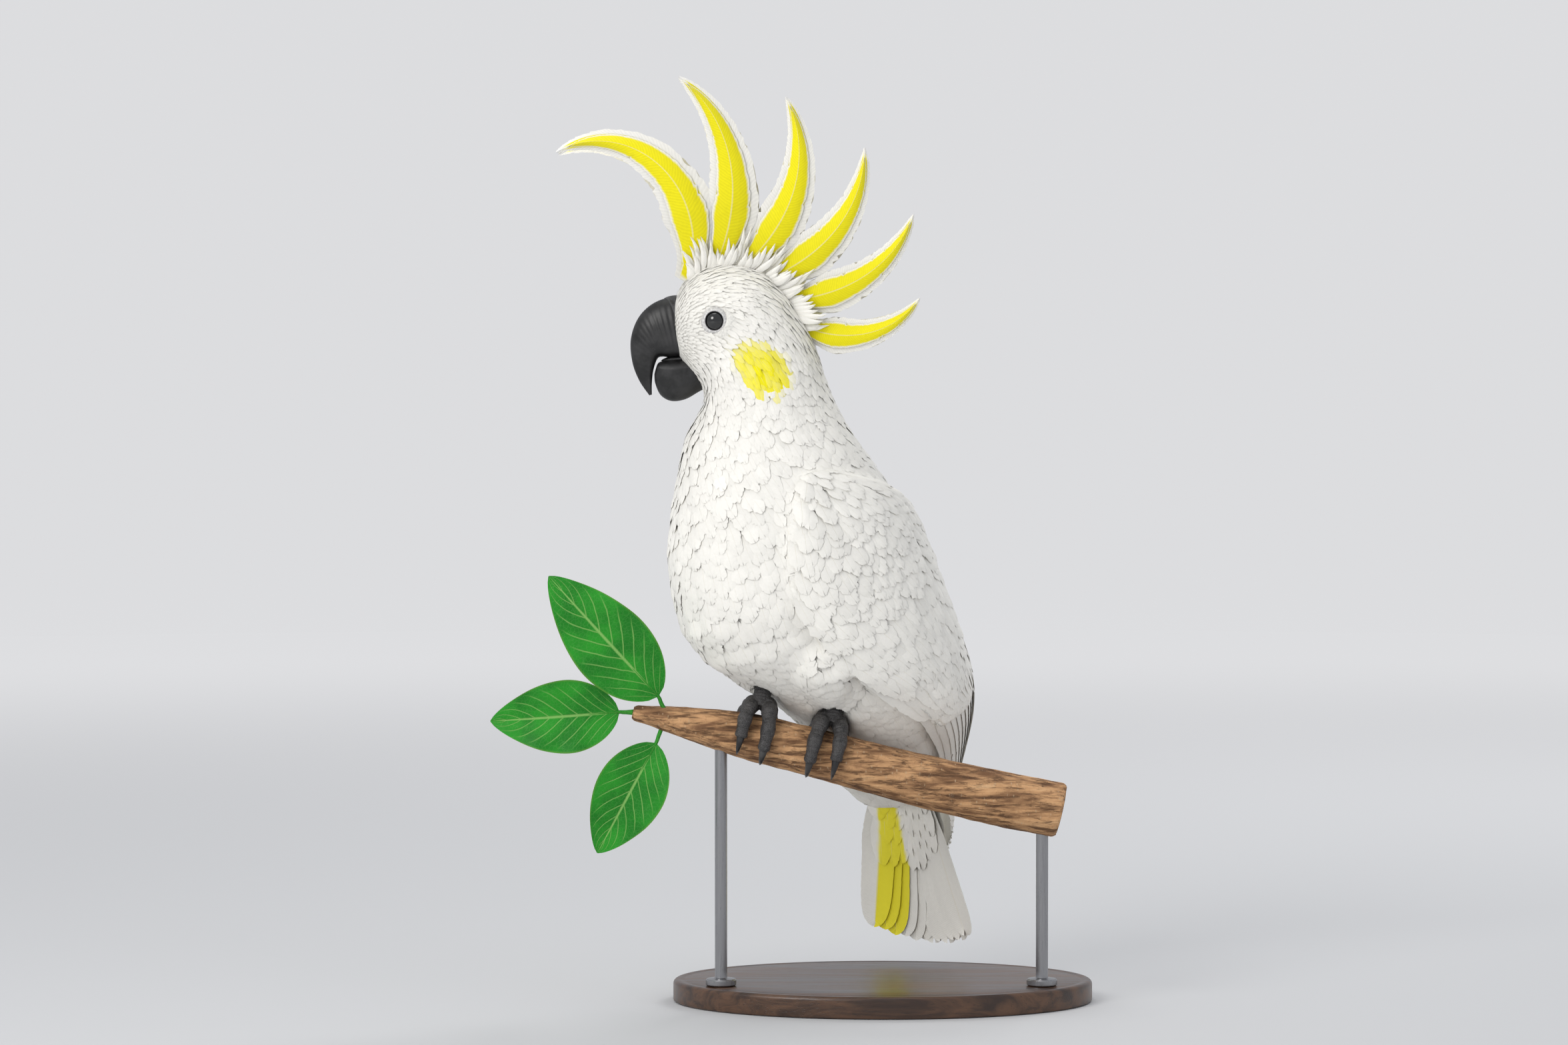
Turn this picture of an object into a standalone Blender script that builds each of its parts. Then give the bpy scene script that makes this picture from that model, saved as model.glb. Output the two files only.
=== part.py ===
"""A life-size sulphur-crested cockatoo, Cacatua galerita, on a cut branch held by a display stand.

Metres, +Z up. The bird faces -X, so its left side is towards -Y. The origin is the centre of the
base's underside. The body is drawn in its own profile: `ahead` runs from tail to bill, `aside`
runs to the bird's left, and `place` turns that profile about an upright line, so that the trunk
and tail are turned a little towards -Y while the head looks along -X.
"""

import math

import bmesh
import bpy
from mathutils import Matrix, Vector

GAP = 0.0003                        # between touching pieces
CUT_GROWTH = 0.0009                 # how much a cutter is larger than the piece it makes room for
WELD = 0.00001                      # points nearer than this are one
SHARP_ANGLE = 40.0                  # degrees; a keener edge than this is shaded sharp

# The upright line about which the body turns, and how far each part of it is turned.
TURN_X, TURN_Y = -0.076, -0.030
TRUNK_TURN, TAIL_TURN = 30.0, 16.0   # degrees; the tail adds its own to the trunk's
NECK_TOP, NECK_FOOT = 0.405, 0.305  # heights between which the neck takes up the trunk's turn
RUMP_TOP, RUMP_FOOT = 0.22, 0.13

# Cross-sections of the body from the tail's root to the face: the centre's place ahead and height,
# the lean of the spine from upright in degrees, and the radii below, above and to each side.
BODY = (
    (-0.1260, 0.128, 20, 0.0200, 0.0200, 0.0290),    # root of the tail
    (-0.1150, 0.158, 30, 0.0400, 0.0340, 0.0420),    # vent and rump
    (-0.0900, 0.195, 34, 0.0480, 0.0540, 0.0550),    # belly behind the perch
    (-0.0600, 0.235, 33, 0.0660, 0.0680, 0.0660),    # belly
    (-0.0350, 0.276, 28, 0.0960, 0.0740, 0.0700),    # breast
    (-0.0170, 0.316, 20, 0.0900, 0.0700, 0.0670),    # shoulders
    (-0.0050, 0.352, 13, 0.0690, 0.0600, 0.0590),    # foot of the neck
    (0.0030, 0.383, 15, 0.0540, 0.0490, 0.0490),     # neck
    (0.0110, 0.412, 38, 0.0460, 0.0480, 0.0450),     # jaw to back of the head
    (0.0240, 0.434, 66, 0.0420, 0.0510, 0.0425),     # cheek to crown
    (0.0400, 0.4430, 84, 0.0385, 0.0410, 0.0350),    # eye to forehead
    (0.0515, 0.4445, 92, 0.0320, 0.0300, 0.0290),    # rim of the face
    (0.0600, 0.4430, 94, 0.0190, 0.0170, 0.0160),    # under the bill
)
RING_SIDES = 20
TRUNK_RINGS, NECK_RINGS, HEAD_RINGS = 14, 4, 11
TRUNK_END, NECK_END = 6.1, 7.6      # stations at which trunk, neck and head part

EYE_AHEAD, EYE_HEIGHT, EYE_ASIDE, EYE_RADIUS = 0.0330, 0.4465, 0.0350, 0.0078
EYE_SEGMENTS, EYE_RINGS = 12, 6
FORM_FADE = 0.020                   # how near the middle of the head its forms die away
# Swellings and hollows of the head: place ahead, height, reach, and depth outwards to each side.
HEAD_FORMS = (
    (EYE_AHEAD, EYE_HEIGHT, 0.0125, -0.0034),        # orbit
    (0.0260, 0.4120, 0.0150, 0.0030),                # cheek
    (0.0330, 0.4680, 0.0120, 0.0014),                # brow
)

# The bill in profile: (ahead, height) of the ridge and of the cutting edge, and the half width.
UPPER_BILL = (
    (0.0440, 0.4605, 0.0440, 0.4250, 0.0130),
    (0.0600, 0.4625, 0.0545, 0.4238, 0.0132),
    (0.0735, 0.4585, 0.0625, 0.4232, 0.0120),
    (0.0835, 0.4490, 0.0680, 0.4236, 0.0102),
    (0.0885, 0.4350, 0.0712, 0.4222, 0.0080),
    (0.0875, 0.4200, 0.0738, 0.4150, 0.0054),
    (0.0830, 0.4080, 0.0748, 0.4062, 0.0031),
    (0.0765, 0.3985, 0.0748, 0.3990, 0.0009),
)
# The lower half: (ahead, height) of its rim and of its underside, and the half width.
LOWER_BILL = (
    (0.0420, 0.4230, 0.0440, 0.4010, 0.0112),
    (0.0510, 0.4224, 0.0530, 0.3960, 0.0116),
    (0.0600, 0.4216, 0.0620, 0.3948, 0.0112),
    (0.0665, 0.4210, 0.0690, 0.3985, 0.0096),
    (0.0706, 0.4196, 0.0726, 0.4060, 0.0072),
    (0.0722, 0.4160, 0.0732, 0.4120, 0.0036),
)
BILL_SIDES = 10
UPPER_WIDEST, LOWER_WIDEST = 0.22, 0.74  # share of a section's depth, from its low point, that is widest
BILL_ROUNDNESS = 0.9

# The crest's six pairs of feathers stand at even distances over the crown, front to back. Each has
# a length, the direction at root and tip in degrees (0 ahead, 90 up, 180 back), and a half width.
CREST_FRONT, CREST_BACK = 10.85, 8.15    # stations of the first and last root
CREST = (
    (0.146, 102, -24, 0.0132),
    (0.131, 114, 40, 0.0130),
    (0.118, 138, 66, 0.0122),
    (0.108, 157, 92, 0.0112),
    (0.102, 176, 112, 0.0102),
    (0.084, 203, 127, 0.0090),
)
CREST_ROOT_ASIDE, CREST_SPLAY = 0.0030, 6.0
CREST_HALF_THICK, CREST_THIN, CREST_DEPTH = 0.0019, 0.0004, 0.0050
CREST_CURL = 1.25                   # above 1, the feather bends most towards its tip
CREST_NARROW, CREST_FULL, CREST_TIP = 0.54, 0.30, 0.0008
CREST_ROWS, CREST_SIDES = 8, 6

# The folded wings lie in a cloak round the body: the same six values as BODY, shoulder to tip.
CLOAK = (
    (0.0000, 0.347, 14, 0.0720, 0.0660, 0.0650),
    (-0.0170, 0.316, 20, 0.0980, 0.0780, 0.0750),
    (-0.0350, 0.275, 27, 0.1090, 0.0810, 0.0790),
    (-0.0600, 0.233, 31, 0.0960, 0.0760, 0.0760),
    (-0.0890, 0.192, 29, 0.0700, 0.0640, 0.0660),
    (-0.1110, 0.154, 23, 0.0520, 0.0480, 0.0540),
    (-0.1250, 0.118, 15, 0.0420, 0.0380, 0.0460),
    (-0.1340, 0.082, 11, 0.0360, 0.0310, 0.0400),
)
# Edges of the folded wing as degrees round from the back, and its thickness, shoulder to tip.
WING_EDGES = (
    (60, 98, 0.0040),
    (32, 116, 0.0100),
    (15, 119, 0.0130),
    (9, 112, 0.0120),
    (6, 98, 0.0100),
    (5, 82, 0.0070),
    (6, 62, 0.0048),
    (12, 36, 0.0028),
)
WING_COLUMNS, ARM_ROWS, HAND_ROWS = 6, 11, 6
WING_NOSE, WING_TIP = 0.10, 0.12     # shares of its length over which its ends round off
WING_RIM, WING_THIN = 0.35, 0.0006   # how far its edges turn in, and their least thickness
ARM_GAP = 0.0006                    # between arm and primaries, as a share of the wing's length
ARM_END = 0.62                      # share of the wing's length that the arm and its coverts take

TAIL_ROOT, TAIL_TIP = (-0.1255, 0.1325), (-0.1500, 0.0270)
TAIL_HALF_ROOT, TAIL_HALF_TIP = 0.0300, 0.0540
TAIL_ROOF, TAIL_THICK_ROOT, TAIL_THICK_TIP = 0.0110, 0.0150, 0.0036
TAIL_FEATHERS, TAIL_SCALLOP, TAIL_ROUNDING = 6, 0.0034, 0.0090
TAIL_ROWS, TAIL_COLUMNS = 3, 24

# The branch: the axis falls to the right, thicker towards the cut end.
BRANCH_LEFT, BRANCH_RIGHT = Vector((-0.163, -0.035, 0.1925)), Vector((0.1150, -0.035, 0.1285))
BRANCH_RADII = (0.0055, 0.0110, 0.0152, 0.0164, 0.0168, 0.0174, 0.0178, 0.0186, 0.0184)
BRANCH_SWAY, BRANCH_SIDES, BRANCH_RINGS = 0.0016, 14, 12

# Each foot grips across the branch: share of the branch's length at which it stands.
FEET = {"right": 0.280, "left": 0.445}
# Toes: way round the branch at root and tip in degrees from the top (minus is behind), place
# along the branch at root and tip, and radius at root.
TOES = (
    (-10, 106, -0.0052, -0.0082, 0.0057),            # outer front toe, the longest
    (-10, 92, 0.0052, 0.0080, 0.0054),               # inner front toe
    (10, -98, -0.0050, -0.0096, 0.0053),             # outer hind toe
    (10, -78, 0.0050, 0.0092, 0.0050),               # inner hind toe
)
TOE_TIP_RADIUS, CLAW_RADIUS, CLAW_TIP_RADIUS = 0.0042, 0.0031, 0.0004
KNUCKLE, TOE_SWING = 0.00035, 1.4    # swelling at a joint; how soon a toe swings to its side
TOE_STEPS, CLAW_STEPS = 5, 4
CLAW_START, CLAW_ARC, CLAW_ARCH, CLAW_DIP = 1.6, 38.0, 0.0020, 0.0022
SHANK_RADII, SHANK_REACH = (0.0062, 0.0054, 0.0050, 0.0052), (0.004, 0.008, 0.024)

# Feathered thighs: place of the hip ahead, aside and in height, and the radii from the shank to it.
HIP_AHEAD, HIP_ASIDE, HIP_HEIGHT = -0.012, 0.0480, 0.2600
THIGH_RADII = (0.0090, 0.0160, 0.0220, 0.0270, 0.0300, 0.0300, 0.0270, 0.0190, 0.0080)
THIGH_SIDES = 10

# Leaves: share of the branch's length, stalk's end from there, direction of the blade in degrees
# (0 right, 90 up, 180 left), length, width, and how far the tip comes forward.
LEAVES = {
    "upper": (0.085, (-0.0070, -0.004, 0.0150), 132, 0.106, 0.054, -0.014),
    "middle": (0.000, (-0.0090, 0.001, 0.0000), 184, 0.084, 0.050, -0.006),
    "lower": (0.075, (-0.0060, -0.003, -0.0160), 242, 0.084, 0.048, 0.010),
}
LEAF_THICK, LEAF_CAMBER, LEAF_DROOP, LEAF_TIP = 0.0012, 0.0055, 0.16, 0.0016
STALK_RADIUS, STALK_END = 0.0014, 0.10  # it runs this share of the way up the blade
LEAF_ROWS, LEAF_COLUMNS = 6, 4

BASE_HALF_LENGTH, BASE_HALF_DEPTH, BASE_THICK, BASE_BEVEL = 0.138, 0.092, 0.0140, 0.0030
BASE_SIDES, ROD_SIDES = 32, 12
ROD_PLACES, ROD_RADIUS, ROD_SEAT = (-0.106, 0.103), 0.0040, 0.0080
COLLAR_RADIUS, COLLAR_HEIGHT = 0.0100, 0.0050

# Colour, roughness and metallic value of each material.
FINISHES = {
    "plumage": ((0.86, 0.84, 0.78, 1), 0.85, 0.0),
    "crest_yellow": ((0.87, 0.78, 0.02, 1), 0.8, 0.0),
    "bill_horn": ((0.025, 0.024, 0.026, 1), 0.4, 0.0),
    "foot_skin": ((0.045, 0.044, 0.048, 1), 0.6, 0.0),
    "eye": ((0.010, 0.006, 0.004, 1), 0.1, 0.0),
    "bark": ((0.30, 0.16, 0.07, 1), 0.9, 0.0),
    "leaf": ((0.02, 0.20, 0.03, 1), 0.5, 0.0),
    "base_wood": ((0.055, 0.030, 0.018, 1), 0.4, 0.0),
    "rod_steel": ((0.60, 0.60, 0.61, 1), 0.3, 1.0),
}


# ---------------------------------------------------------------- curves and places

def ease(share):
    """0 to 1 with flat ends."""
    share = min(max(share, 0.0), 1.0)
    return share * share * (3 - 2 * share)


def blend(first, second, share):
    return first + (second - first) * share


def read(table, place):
    """A row of the table at a fractional index, on a smooth curve through the rows."""
    last = len(table) - 1
    place = min(max(place, 0.0), float(last))
    index = min(int(place), last - 1)
    t = place - index
    before, start, end, after = (table[min(max(index + k, 0), last)] for k in (-1, 0, 1, 2))
    row = []
    for a, b, c, d in zip(before, start, end, after):
        row.append(b + 0.5 * t * (c - a + t * (2 * a - 5 * b + 4 * c - d + t * (3 * (b - c) + d - a))))
    return row


def spread(first, last, count):
    return [blend(first, last, k / (count - 1)) for k in range(count)]


def turn_at(height):
    neck = ease((NECK_TOP - height) / (NECK_TOP - NECK_FOOT))
    rump = ease((RUMP_TOP - height) / (RUMP_TOP - RUMP_FOOT))
    return math.radians(TRUNK_TURN * neck + TAIL_TURN * rump)


def place(ahead, aside, height):
    """World place of a point given in the bird's own profile."""
    turn = turn_at(height)
    return Vector((
        TURN_X - ahead * math.cos(turn) + aside * math.sin(turn),
        TURN_Y - ahead * math.sin(turn) - aside * math.cos(turn),
        height,
    ))


def section_point(row, around, growth):
    """A point of a cross-section: `around` is 0 at the back, 90 degrees at the left, 180 below."""
    ahead, height, lean, below, above, side = row
    lean = math.radians(lean)
    depth = -math.cos(around) * ((above if math.cos(around) > 0 else below) + growth)
    across = math.sin(around) * (side + growth)
    return ahead + depth * math.cos(lean), across, height - depth * math.sin(lean)


def head_form(ahead, aside, height):
    """Pushes a point of the head in or out to its side, for the orbit, cheek and brow."""
    push = 0.0
    for form_ahead, form_height, reach, depth in HEAD_FORMS:
        away = math.hypot(ahead - form_ahead, height - form_height) / reach
        push += depth * math.exp(-away * away)
    return aside + math.copysign(push, aside) * min(abs(aside) / FORM_FADE, 1.0)


def body_point(station, around, growth=0.0, shift=0.0):
    """A point of the body's surface; `shift` moves the section along the spine."""
    row = read(BODY, station)
    lean = math.radians(row[2])
    row[0] += shift * math.sin(lean)
    row[1] += shift * math.cos(lean)
    ahead, aside, height = section_point(row, around, growth)
    return place(ahead, head_form(ahead, aside, height), height)


# ---------------------------------------------------------------- meshes and objects

def collection(name):
    made = bpy.data.collections.new(name)
    bpy.context.scene.collection.children.link(made)
    return made


def material(name):
    made = bpy.data.materials.get(name) or bpy.data.materials.new(name)
    colour, roughness, metallic = FINISHES[name]
    made.use_nodes = True
    shader = made.node_tree.nodes["Principled BSDF"]
    shader.inputs["Base Color"].default_value = colour
    shader.inputs["Roughness"].default_value = roughness
    shader.inputs["Metallic"].default_value = metallic
    made.diffuse_color = colour
    return made


def finish(bm, name, finish_name):
    """Turns the bmesh into a smooth-shaded object of the part."""
    bm.normal_update()
    bmesh.ops.recalc_face_normals(bm, faces=bm.faces)
    mesh = bpy.data.meshes.new(name)
    bm.to_mesh(mesh)
    bm.free()
    mesh.shade_smooth()
    mesh.set_sharp_from_angle(angle=math.radians(SHARP_ANGLE))
    mesh.materials.append(material(finish_name))
    obj = bpy.data.objects.new(name, mesh)
    PARTS.objects.link(obj)
    return obj


def as_cutter(obj):
    """Moves an object out of the part, to be used only by Booleans."""
    PARTS.objects.unlink(obj)
    CUTTERS.objects.link(obj)
    obj.hide_render = True
    obj.display_type = "WIRE"
    return obj


def boolean(obj, other, operation, solver="EXACT"):
    modifier = obj.modifiers.new(operation.lower(), "BOOLEAN")
    modifier.operation = operation
    modifier.solver = solver
    modifier.object = other
    return obj


def loft(rings):
    """A closed body through rings of equal counts, with a point at the middle of each end."""
    bm = bmesh.new()
    rows = [[bm.verts.new(point) for point in ring] for ring in rings]
    count = len(rows[0])
    for first, second in zip(rows, rows[1:]):
        for k in range(count):
            after = (k + 1) % count
            bm.faces.new((first[k], first[after], second[after], second[k]))
    for ring, verts in ((rings[0], rows[0]), (rings[-1], rows[-1])):
        middle = bm.verts.new(sum((Vector(point) for point in ring), Vector()) / count)
        for k in range(count):
            bm.faces.new((verts[k], verts[(k + 1) % count], middle))
    # Fixed diagonals, so that a piece and the room cut for it bend the same way.
    bmesh.ops.triangulate(bm, faces=bm.faces, quad_method="FIXED")
    return bm


def sheet(rows, columns, point):
    """A closed sheet: point(row share, column share from -1 to 1, side 1 or -1) gives its two faces."""
    bm = bmesh.new()
    faces = {}
    for side in (1, -1):
        faces[side] = [
            [bm.verts.new(point(i / rows, 2 * j / columns - 1, side)) for j in range(columns + 1)]
            for i in range(rows + 1)
        ]
        for i in range(rows):
            for j in range(columns):
                grid = faces[side]
                bm.faces.new((grid[i][j], grid[i][j + 1], grid[i + 1][j + 1], grid[i + 1][j]))
    rim = [(0, j) for j in range(columns)] + [(i, columns) for i in range(rows)]
    rim += [(rows, j) for j in range(columns, 0, -1)] + [(i, 0) for i in range(rows, 0, -1)]
    for (i, j), (k, m) in zip(rim, rim[1:] + rim[:1]):
        bm.faces.new((faces[1][i][j], faces[1][k][m], faces[-1][k][m], faces[-1][i][j]))
    return bm


def tube(name, points, radii, finish_name, resolution=2):
    """A tube along the points as a curve with filled caps, made a mesh so that it can be joined."""
    curve = bpy.data.curves.new(name, "CURVE")
    curve.dimensions = "3D"
    curve.bevel_depth = 1.0
    curve.bevel_resolution = resolution
    curve.use_fill_caps = True
    spline = curve.splines.new("POLY")
    spline.points.add(len(points) - 1)
    for knot, point, radius in zip(spline.points, points, radii):
        knot.co = (*point, 1)
        knot.radius = radius
    holder = bpy.data.objects.new(name + "_curve", curve)
    bpy.context.scene.collection.objects.link(holder)
    bpy.context.view_layer.update()
    mesh = bpy.data.meshes.new_from_object(holder.evaluated_get(bpy.context.evaluated_depsgraph_get()))
    bm = bmesh.new()
    bm.from_mesh(mesh)
    bmesh.ops.remove_doubles(bm, verts=bm.verts, dist=WELD)
    bpy.data.objects.remove(holder)
    bpy.data.meshes.remove(mesh)
    return finish(bm, name, finish_name)


def ring_of(point, sides=RING_SIDES):
    return [point(2 * math.pi * k / sides) for k in range(sides)]


# ---------------------------------------------------------------- the bird

def body_length(name, first, last, rings, shift_first, shift_last, growth=0.0):
    """A length of the body between two stations, with its end sections moved along the spine."""
    stations = spread(first, last, rings)
    made = []
    for station in stations:
        shift = shift_first if station == first else shift_last if station == last else 0.0
        made.append(ring_of(lambda around: body_point(station, around, growth, shift)))
    return finish(loft(made), name, "plumage")


def trunk_neck_head():
    last = len(BODY) - 1
    trunk = body_length("trunk", 0, TRUNK_END, TRUNK_RINGS, 0.0, -GAP / 2)
    body_length("neck", TRUNK_END, NECK_END, NECK_RINGS, GAP / 2, -GAP / 2)
    head = body_length("head", NECK_END, last, HEAD_RINGS, GAP / 2, 0.0)
    for side in ("left", "right"):
        boolean(head, as_cutter(eye_ball("socket_" + side, side, EYE_RADIUS + GAP)), "DIFFERENCE")
    return trunk, head


def body_cutter(name, first, last, rings):
    """The body grown by the gap, to be taken from what lies against it."""
    return as_cutter(body_length(name, first, last, rings, -CUT_GROWTH, CUT_GROWTH, CUT_GROWTH))


def eye_ball(name, side, radius):
    bm = bmesh.new()
    bmesh.ops.create_uvsphere(bm, u_segments=EYE_SEGMENTS, v_segments=EYE_RINGS, radius=radius)
    aside = EYE_ASIDE if side == "left" else -EYE_ASIDE
    centre = place(EYE_AHEAD, aside, EYE_HEIGHT)
    bmesh.ops.transform(bm, matrix=Matrix.Translation(centre), verts=bm.verts)
    return finish(bm, name, "eye")


def bill_half(name, table, growth, widest):
    """Half of the bill: each section runs from the first profile point to the second.

    `widest` is how far from the second point towards the first the section is widest.
    """
    rings = []
    for station in spread(0, len(table) - 1, 2 * len(table) - 3):
        top_ahead, top_height, low_ahead, low_height, half = read(table, station)
        top, low = Vector((top_ahead, 0, top_height)), Vector((low_ahead, 0, low_height))
        middle = low.lerp(top, widest)
        up = (top - middle) * (1 + growth / (top - middle).length)
        down = (low - middle) * (1 + growth / (low - middle).length)

        def point(around):
            arm = up if math.sin(around) > 0 else down
            place_in_profile = middle + arm * abs(math.sin(around))
            bulge = abs(math.cos(around)) ** BILL_ROUNDNESS
            across = math.copysign(bulge, math.cos(around)) * (half + growth)
            return place(place_in_profile.x, across, place_in_profile.z)

        rings.append(ring_of(point, BILL_SIDES))
    return finish(loft(rings), name, "bill_horn")


def bill(head_cutter):
    upper = bill_half("bill_upper", UPPER_BILL, 0.0, UPPER_WIDEST)
    lower = bill_half("bill_lower", LOWER_BILL, 0.0, LOWER_WIDEST)
    boolean(upper, head_cutter, "DIFFERENCE")
    boolean(lower, as_cutter(bill_half("upper_room", UPPER_BILL, GAP, UPPER_WIDEST)), "DIFFERENCE")
    boolean(lower, head_cutter, "DIFFERENCE")


def crown_roots():
    """Places of the crest's roots, at even distances along the top of the head."""
    walk = [section_point(read(BODY, u), 0.0, -CREST_DEPTH) for u in spread(CREST_FRONT, CREST_BACK, 400)]
    walked = [0.0]
    for first, second in zip(walk, walk[1:]):
        walked.append(walked[-1] + math.dist(first, second))
    wanted = spread(0.0, walked[-1], len(CREST))
    return [walk[min(sum(d < goal for d in walked), len(walk) - 1)] for goal in wanted]


def crest_path(number, steps):
    """Points and directions of a crest feather's middle line, in profile."""
    length, first, last, _ = CREST[number]
    ahead, _, height = crown_roots()[number]
    rows = []
    for step in range(steps + 1):
        share = step / steps
        direction = math.radians(blend(first, last, share ** CREST_CURL))
        rows.append((share, ahead, height, direction))
        ahead += length / steps * math.cos(direction)
        height += length / steps * math.sin(direction)
    return rows


def crest_half_width(share, widest):
    """Narrow at the root, fullest a third of the way up, and drawn out to the tip."""
    rise = blend(CREST_NARROW, 1.0, ease((share - 0.06) / 0.28))
    fall = max(1 - max(share - CREST_FULL, 0.0) / (1 - CREST_FULL), 0.0) ** 0.72
    return max(widest * rise * fall, CREST_TIP)


def crest_feather(number, side, head_cutter):
    """One curved feather of the crest, leaning out to its own side."""
    sign = 1 if side == "left" else -1
    length, widest = CREST[number][0], CREST[number][3]
    splay = math.tan(math.radians(CREST_SPLAY))
    rings = []
    for share, ahead, height, direction in crest_path(number, CREST_ROWS):
        half = crest_half_width(share, widest)
        thick = max(CREST_HALF_THICK * (1 - 0.75 * share), CREST_THIN)
        away = CREST_ROOT_ASIDE + length * share * splay

        def point(around):
            across = half * math.cos(around)
            return place(
                ahead + across * math.sin(direction),
                sign * (away + thick * math.sin(around)),
                height - across * math.cos(direction),
            )

        rings.append(ring_of(point, CREST_SIDES))
    feather = finish(loft(rings), f"crest_{side}_{number + 1}", "crest_yellow")
    return boolean(feather, head_cutter, "DIFFERENCE")


def wing_point(share, column, side, sign):
    """A point of the folded wing: `share` from shoulder to tip, `column` from back to belly edge."""
    upper, lower, thick = read(WING_EDGES, share * (len(WING_EDGES) - 1))
    half = (lower - upper) / 2
    middle = (upper + lower) / 2
    nose = min(share / WING_NOSE, 1.0)
    half *= math.sqrt(max(1 - (1 - nose) ** 2, 0.04))
    tip = min((1 - share) / WING_TIP, 1.0)
    half *= math.sqrt(max(1 - (1 - tip) ** 2, 0.06))
    around = math.radians(middle + half * column)
    fade = math.sqrt(max(1 - abs(column) ** 3, 0.02))
    depth = 0.0 if side > 0 else -max(thick * fade, WING_THIN)
    rim = -(1 - fade) * thick * WING_RIM
    row = read(CLOAK, share * (len(CLOAK) - 1))
    ahead, aside, height = section_point(row, around, depth + rim)
    return place(ahead, sign * aside, height)


def wing(side, arm_cutters, tip_cutters):
    """The arm with its coverts, and the folded flight feathers beyond them."""
    sign = 1 if side == "left" else -1
    pieces = (
        ("wing_", 0.0, ARM_END, ARM_ROWS),
        ("primaries_", ARM_END + ARM_GAP, 1.0, HAND_ROWS),
    )
    for name, first, last, rows in pieces:

        def point(row, column, face, first=first, last=last):
            return wing_point(blend(first, last, row), column, face, sign)

        piece = finish(sheet(rows, WING_COLUMNS, point), name + side, "plumage")
        for cutter in arm_cutters if name == "wing_" else tip_cutters:
            boolean(piece, cutter, "DIFFERENCE")


def tail_point(row, column, face, growth=0.0):
    """A point of the fan: flat feathers in a low roof, each with a rounded tip."""
    rounding = TAIL_ROUNDING * column * column
    ripple = TAIL_SCALLOP * math.cos(math.pi * TAIL_FEATHERS * (column + 1) / 2) ** 2
    full = TAIL_ROOT[1] - TAIL_TIP[1]
    share = row * (1 - (rounding + ripple) / full)
    half = blend(TAIL_HALF_ROOT, TAIL_HALF_TIP, share) + growth
    thick = blend(TAIL_THICK_ROOT, TAIL_THICK_TIP, share ** 0.6) * (1 - 0.55 * column * column)
    roof = TAIL_ROOF * (1 - column * column) * blend(1.0, 0.6, share)
    lift = roof + face * (thick / 2 + growth)
    ahead = blend(TAIL_ROOT[0], TAIL_TIP[0], share)
    height = blend(TAIL_ROOT[1], TAIL_TIP[1], share)
    return place(ahead - lift, half * column, height)


def tail():
    return finish(sheet(TAIL_ROWS, TAIL_COLUMNS, tail_point), "tail", "plumage")


def tail_room():
    def grown(row, column, face):
        return tail_point(row, column, face, GAP)

    return as_cutter(finish(sheet(TAIL_ROWS, TAIL_COLUMNS, grown), "tail_room", "plumage"))


def thigh(side, growth=0.0):
    """The feathered thigh, from the hip down to the shank."""
    hip = place(HIP_AHEAD, HIP_ASIDE if side == "left" else -HIP_ASIDE, HIP_HEIGHT)
    knee = shank_points(side)[1]
    along = (hip - knee).normalized()
    across = along.cross(Vector((0, 1, 0))).normalized()
    forward = across.cross(along)
    rings = []
    for share, radius in zip(spread(0, 1, len(THIGH_RADII)), THIGH_RADII):
        centre = knee.lerp(hip, share)

        def point(around):
            return centre + (across * math.cos(around) + forward * math.sin(around)) * (radius + growth)

        rings.append(ring_of(point, THIGH_SIDES))
    for ring, way in ((rings[0], -1), (rings[-1], 1)):
        ring[:] = [corner + along * growth * way for corner in ring]
    return finish(loft(rings), ("thigh_" if growth == 0 else "thigh_room_") + side, "plumage")


# ---------------------------------------------------------------- the perch

def branch_row(share):
    """Centre and radius of the branch."""
    centre = BRANCH_LEFT.lerp(BRANCH_RIGHT, share)
    centre.z += BRANCH_SWAY * math.sin(2 * math.pi * share)
    radius = read([(value,) for value in BRANCH_RADII], share * (len(BRANCH_RADII) - 1))[0]
    return centre, radius


BRANCH_ALONG = (BRANCH_RIGHT - BRANCH_LEFT).normalized()
BRANCH_UP = Vector((0, 1, 0)).cross(BRANCH_ALONG) * -1
BRANCH_LENGTH = (BRANCH_RIGHT - BRANCH_LEFT).length


def round_branch(share, degrees, away):
    """A point at a way round the branch (0 on top, 90 at the front) and a distance off its surface."""
    centre, radius = branch_row(share)
    turn = math.radians(degrees)
    outwards = BRANCH_UP * math.cos(turn) + Vector((0, -1, 0)) * math.sin(turn)
    return centre + outwards * (radius + away)


def branch(name, growth=0.0):
    rings = []
    for share in spread(0.0, 1.0, BRANCH_RINGS):
        rings.append([
            round_branch(share, 360 * k / BRANCH_SIDES, growth) for k in range(BRANCH_SIDES)
        ])
    ends = (rings[0], rings[-1])
    for ring, way in zip(ends, (-1, 1)):
        for k, point in enumerate(ring):
            ring[k] = point + BRANCH_ALONG * way * growth
    return finish(loft(rings), name, "bark")


def toe_path(share, first, last, side_first, side_last, radius_first, growth):
    points, radii = [], []
    for t in spread(0.0, 1.0, TOE_STEPS + 1):
        knuckle = KNUCKLE * math.cos(6 * math.pi * t)
        radius = blend(radius_first, TOE_TIP_RADIUS, t) + knuckle
        along = blend(side_first, side_last, ease(t * TOE_SWING)) / BRANCH_LENGTH
        points.append(round_branch(share + along, blend(first, last, t), radius + 2 * GAP))
        radii.append(radius + growth)
    return points, radii


def shank_points(side):
    """The shank's middle line, from the sole up into the thigh."""
    sole = round_branch(FEET[side], 0, SHANK_RADII[0] + 2 * GAP)
    return [sole.lerp(sole + Vector(SHANK_REACH), t) for t in spread(0, 1, len(SHANK_RADII))]


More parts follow.
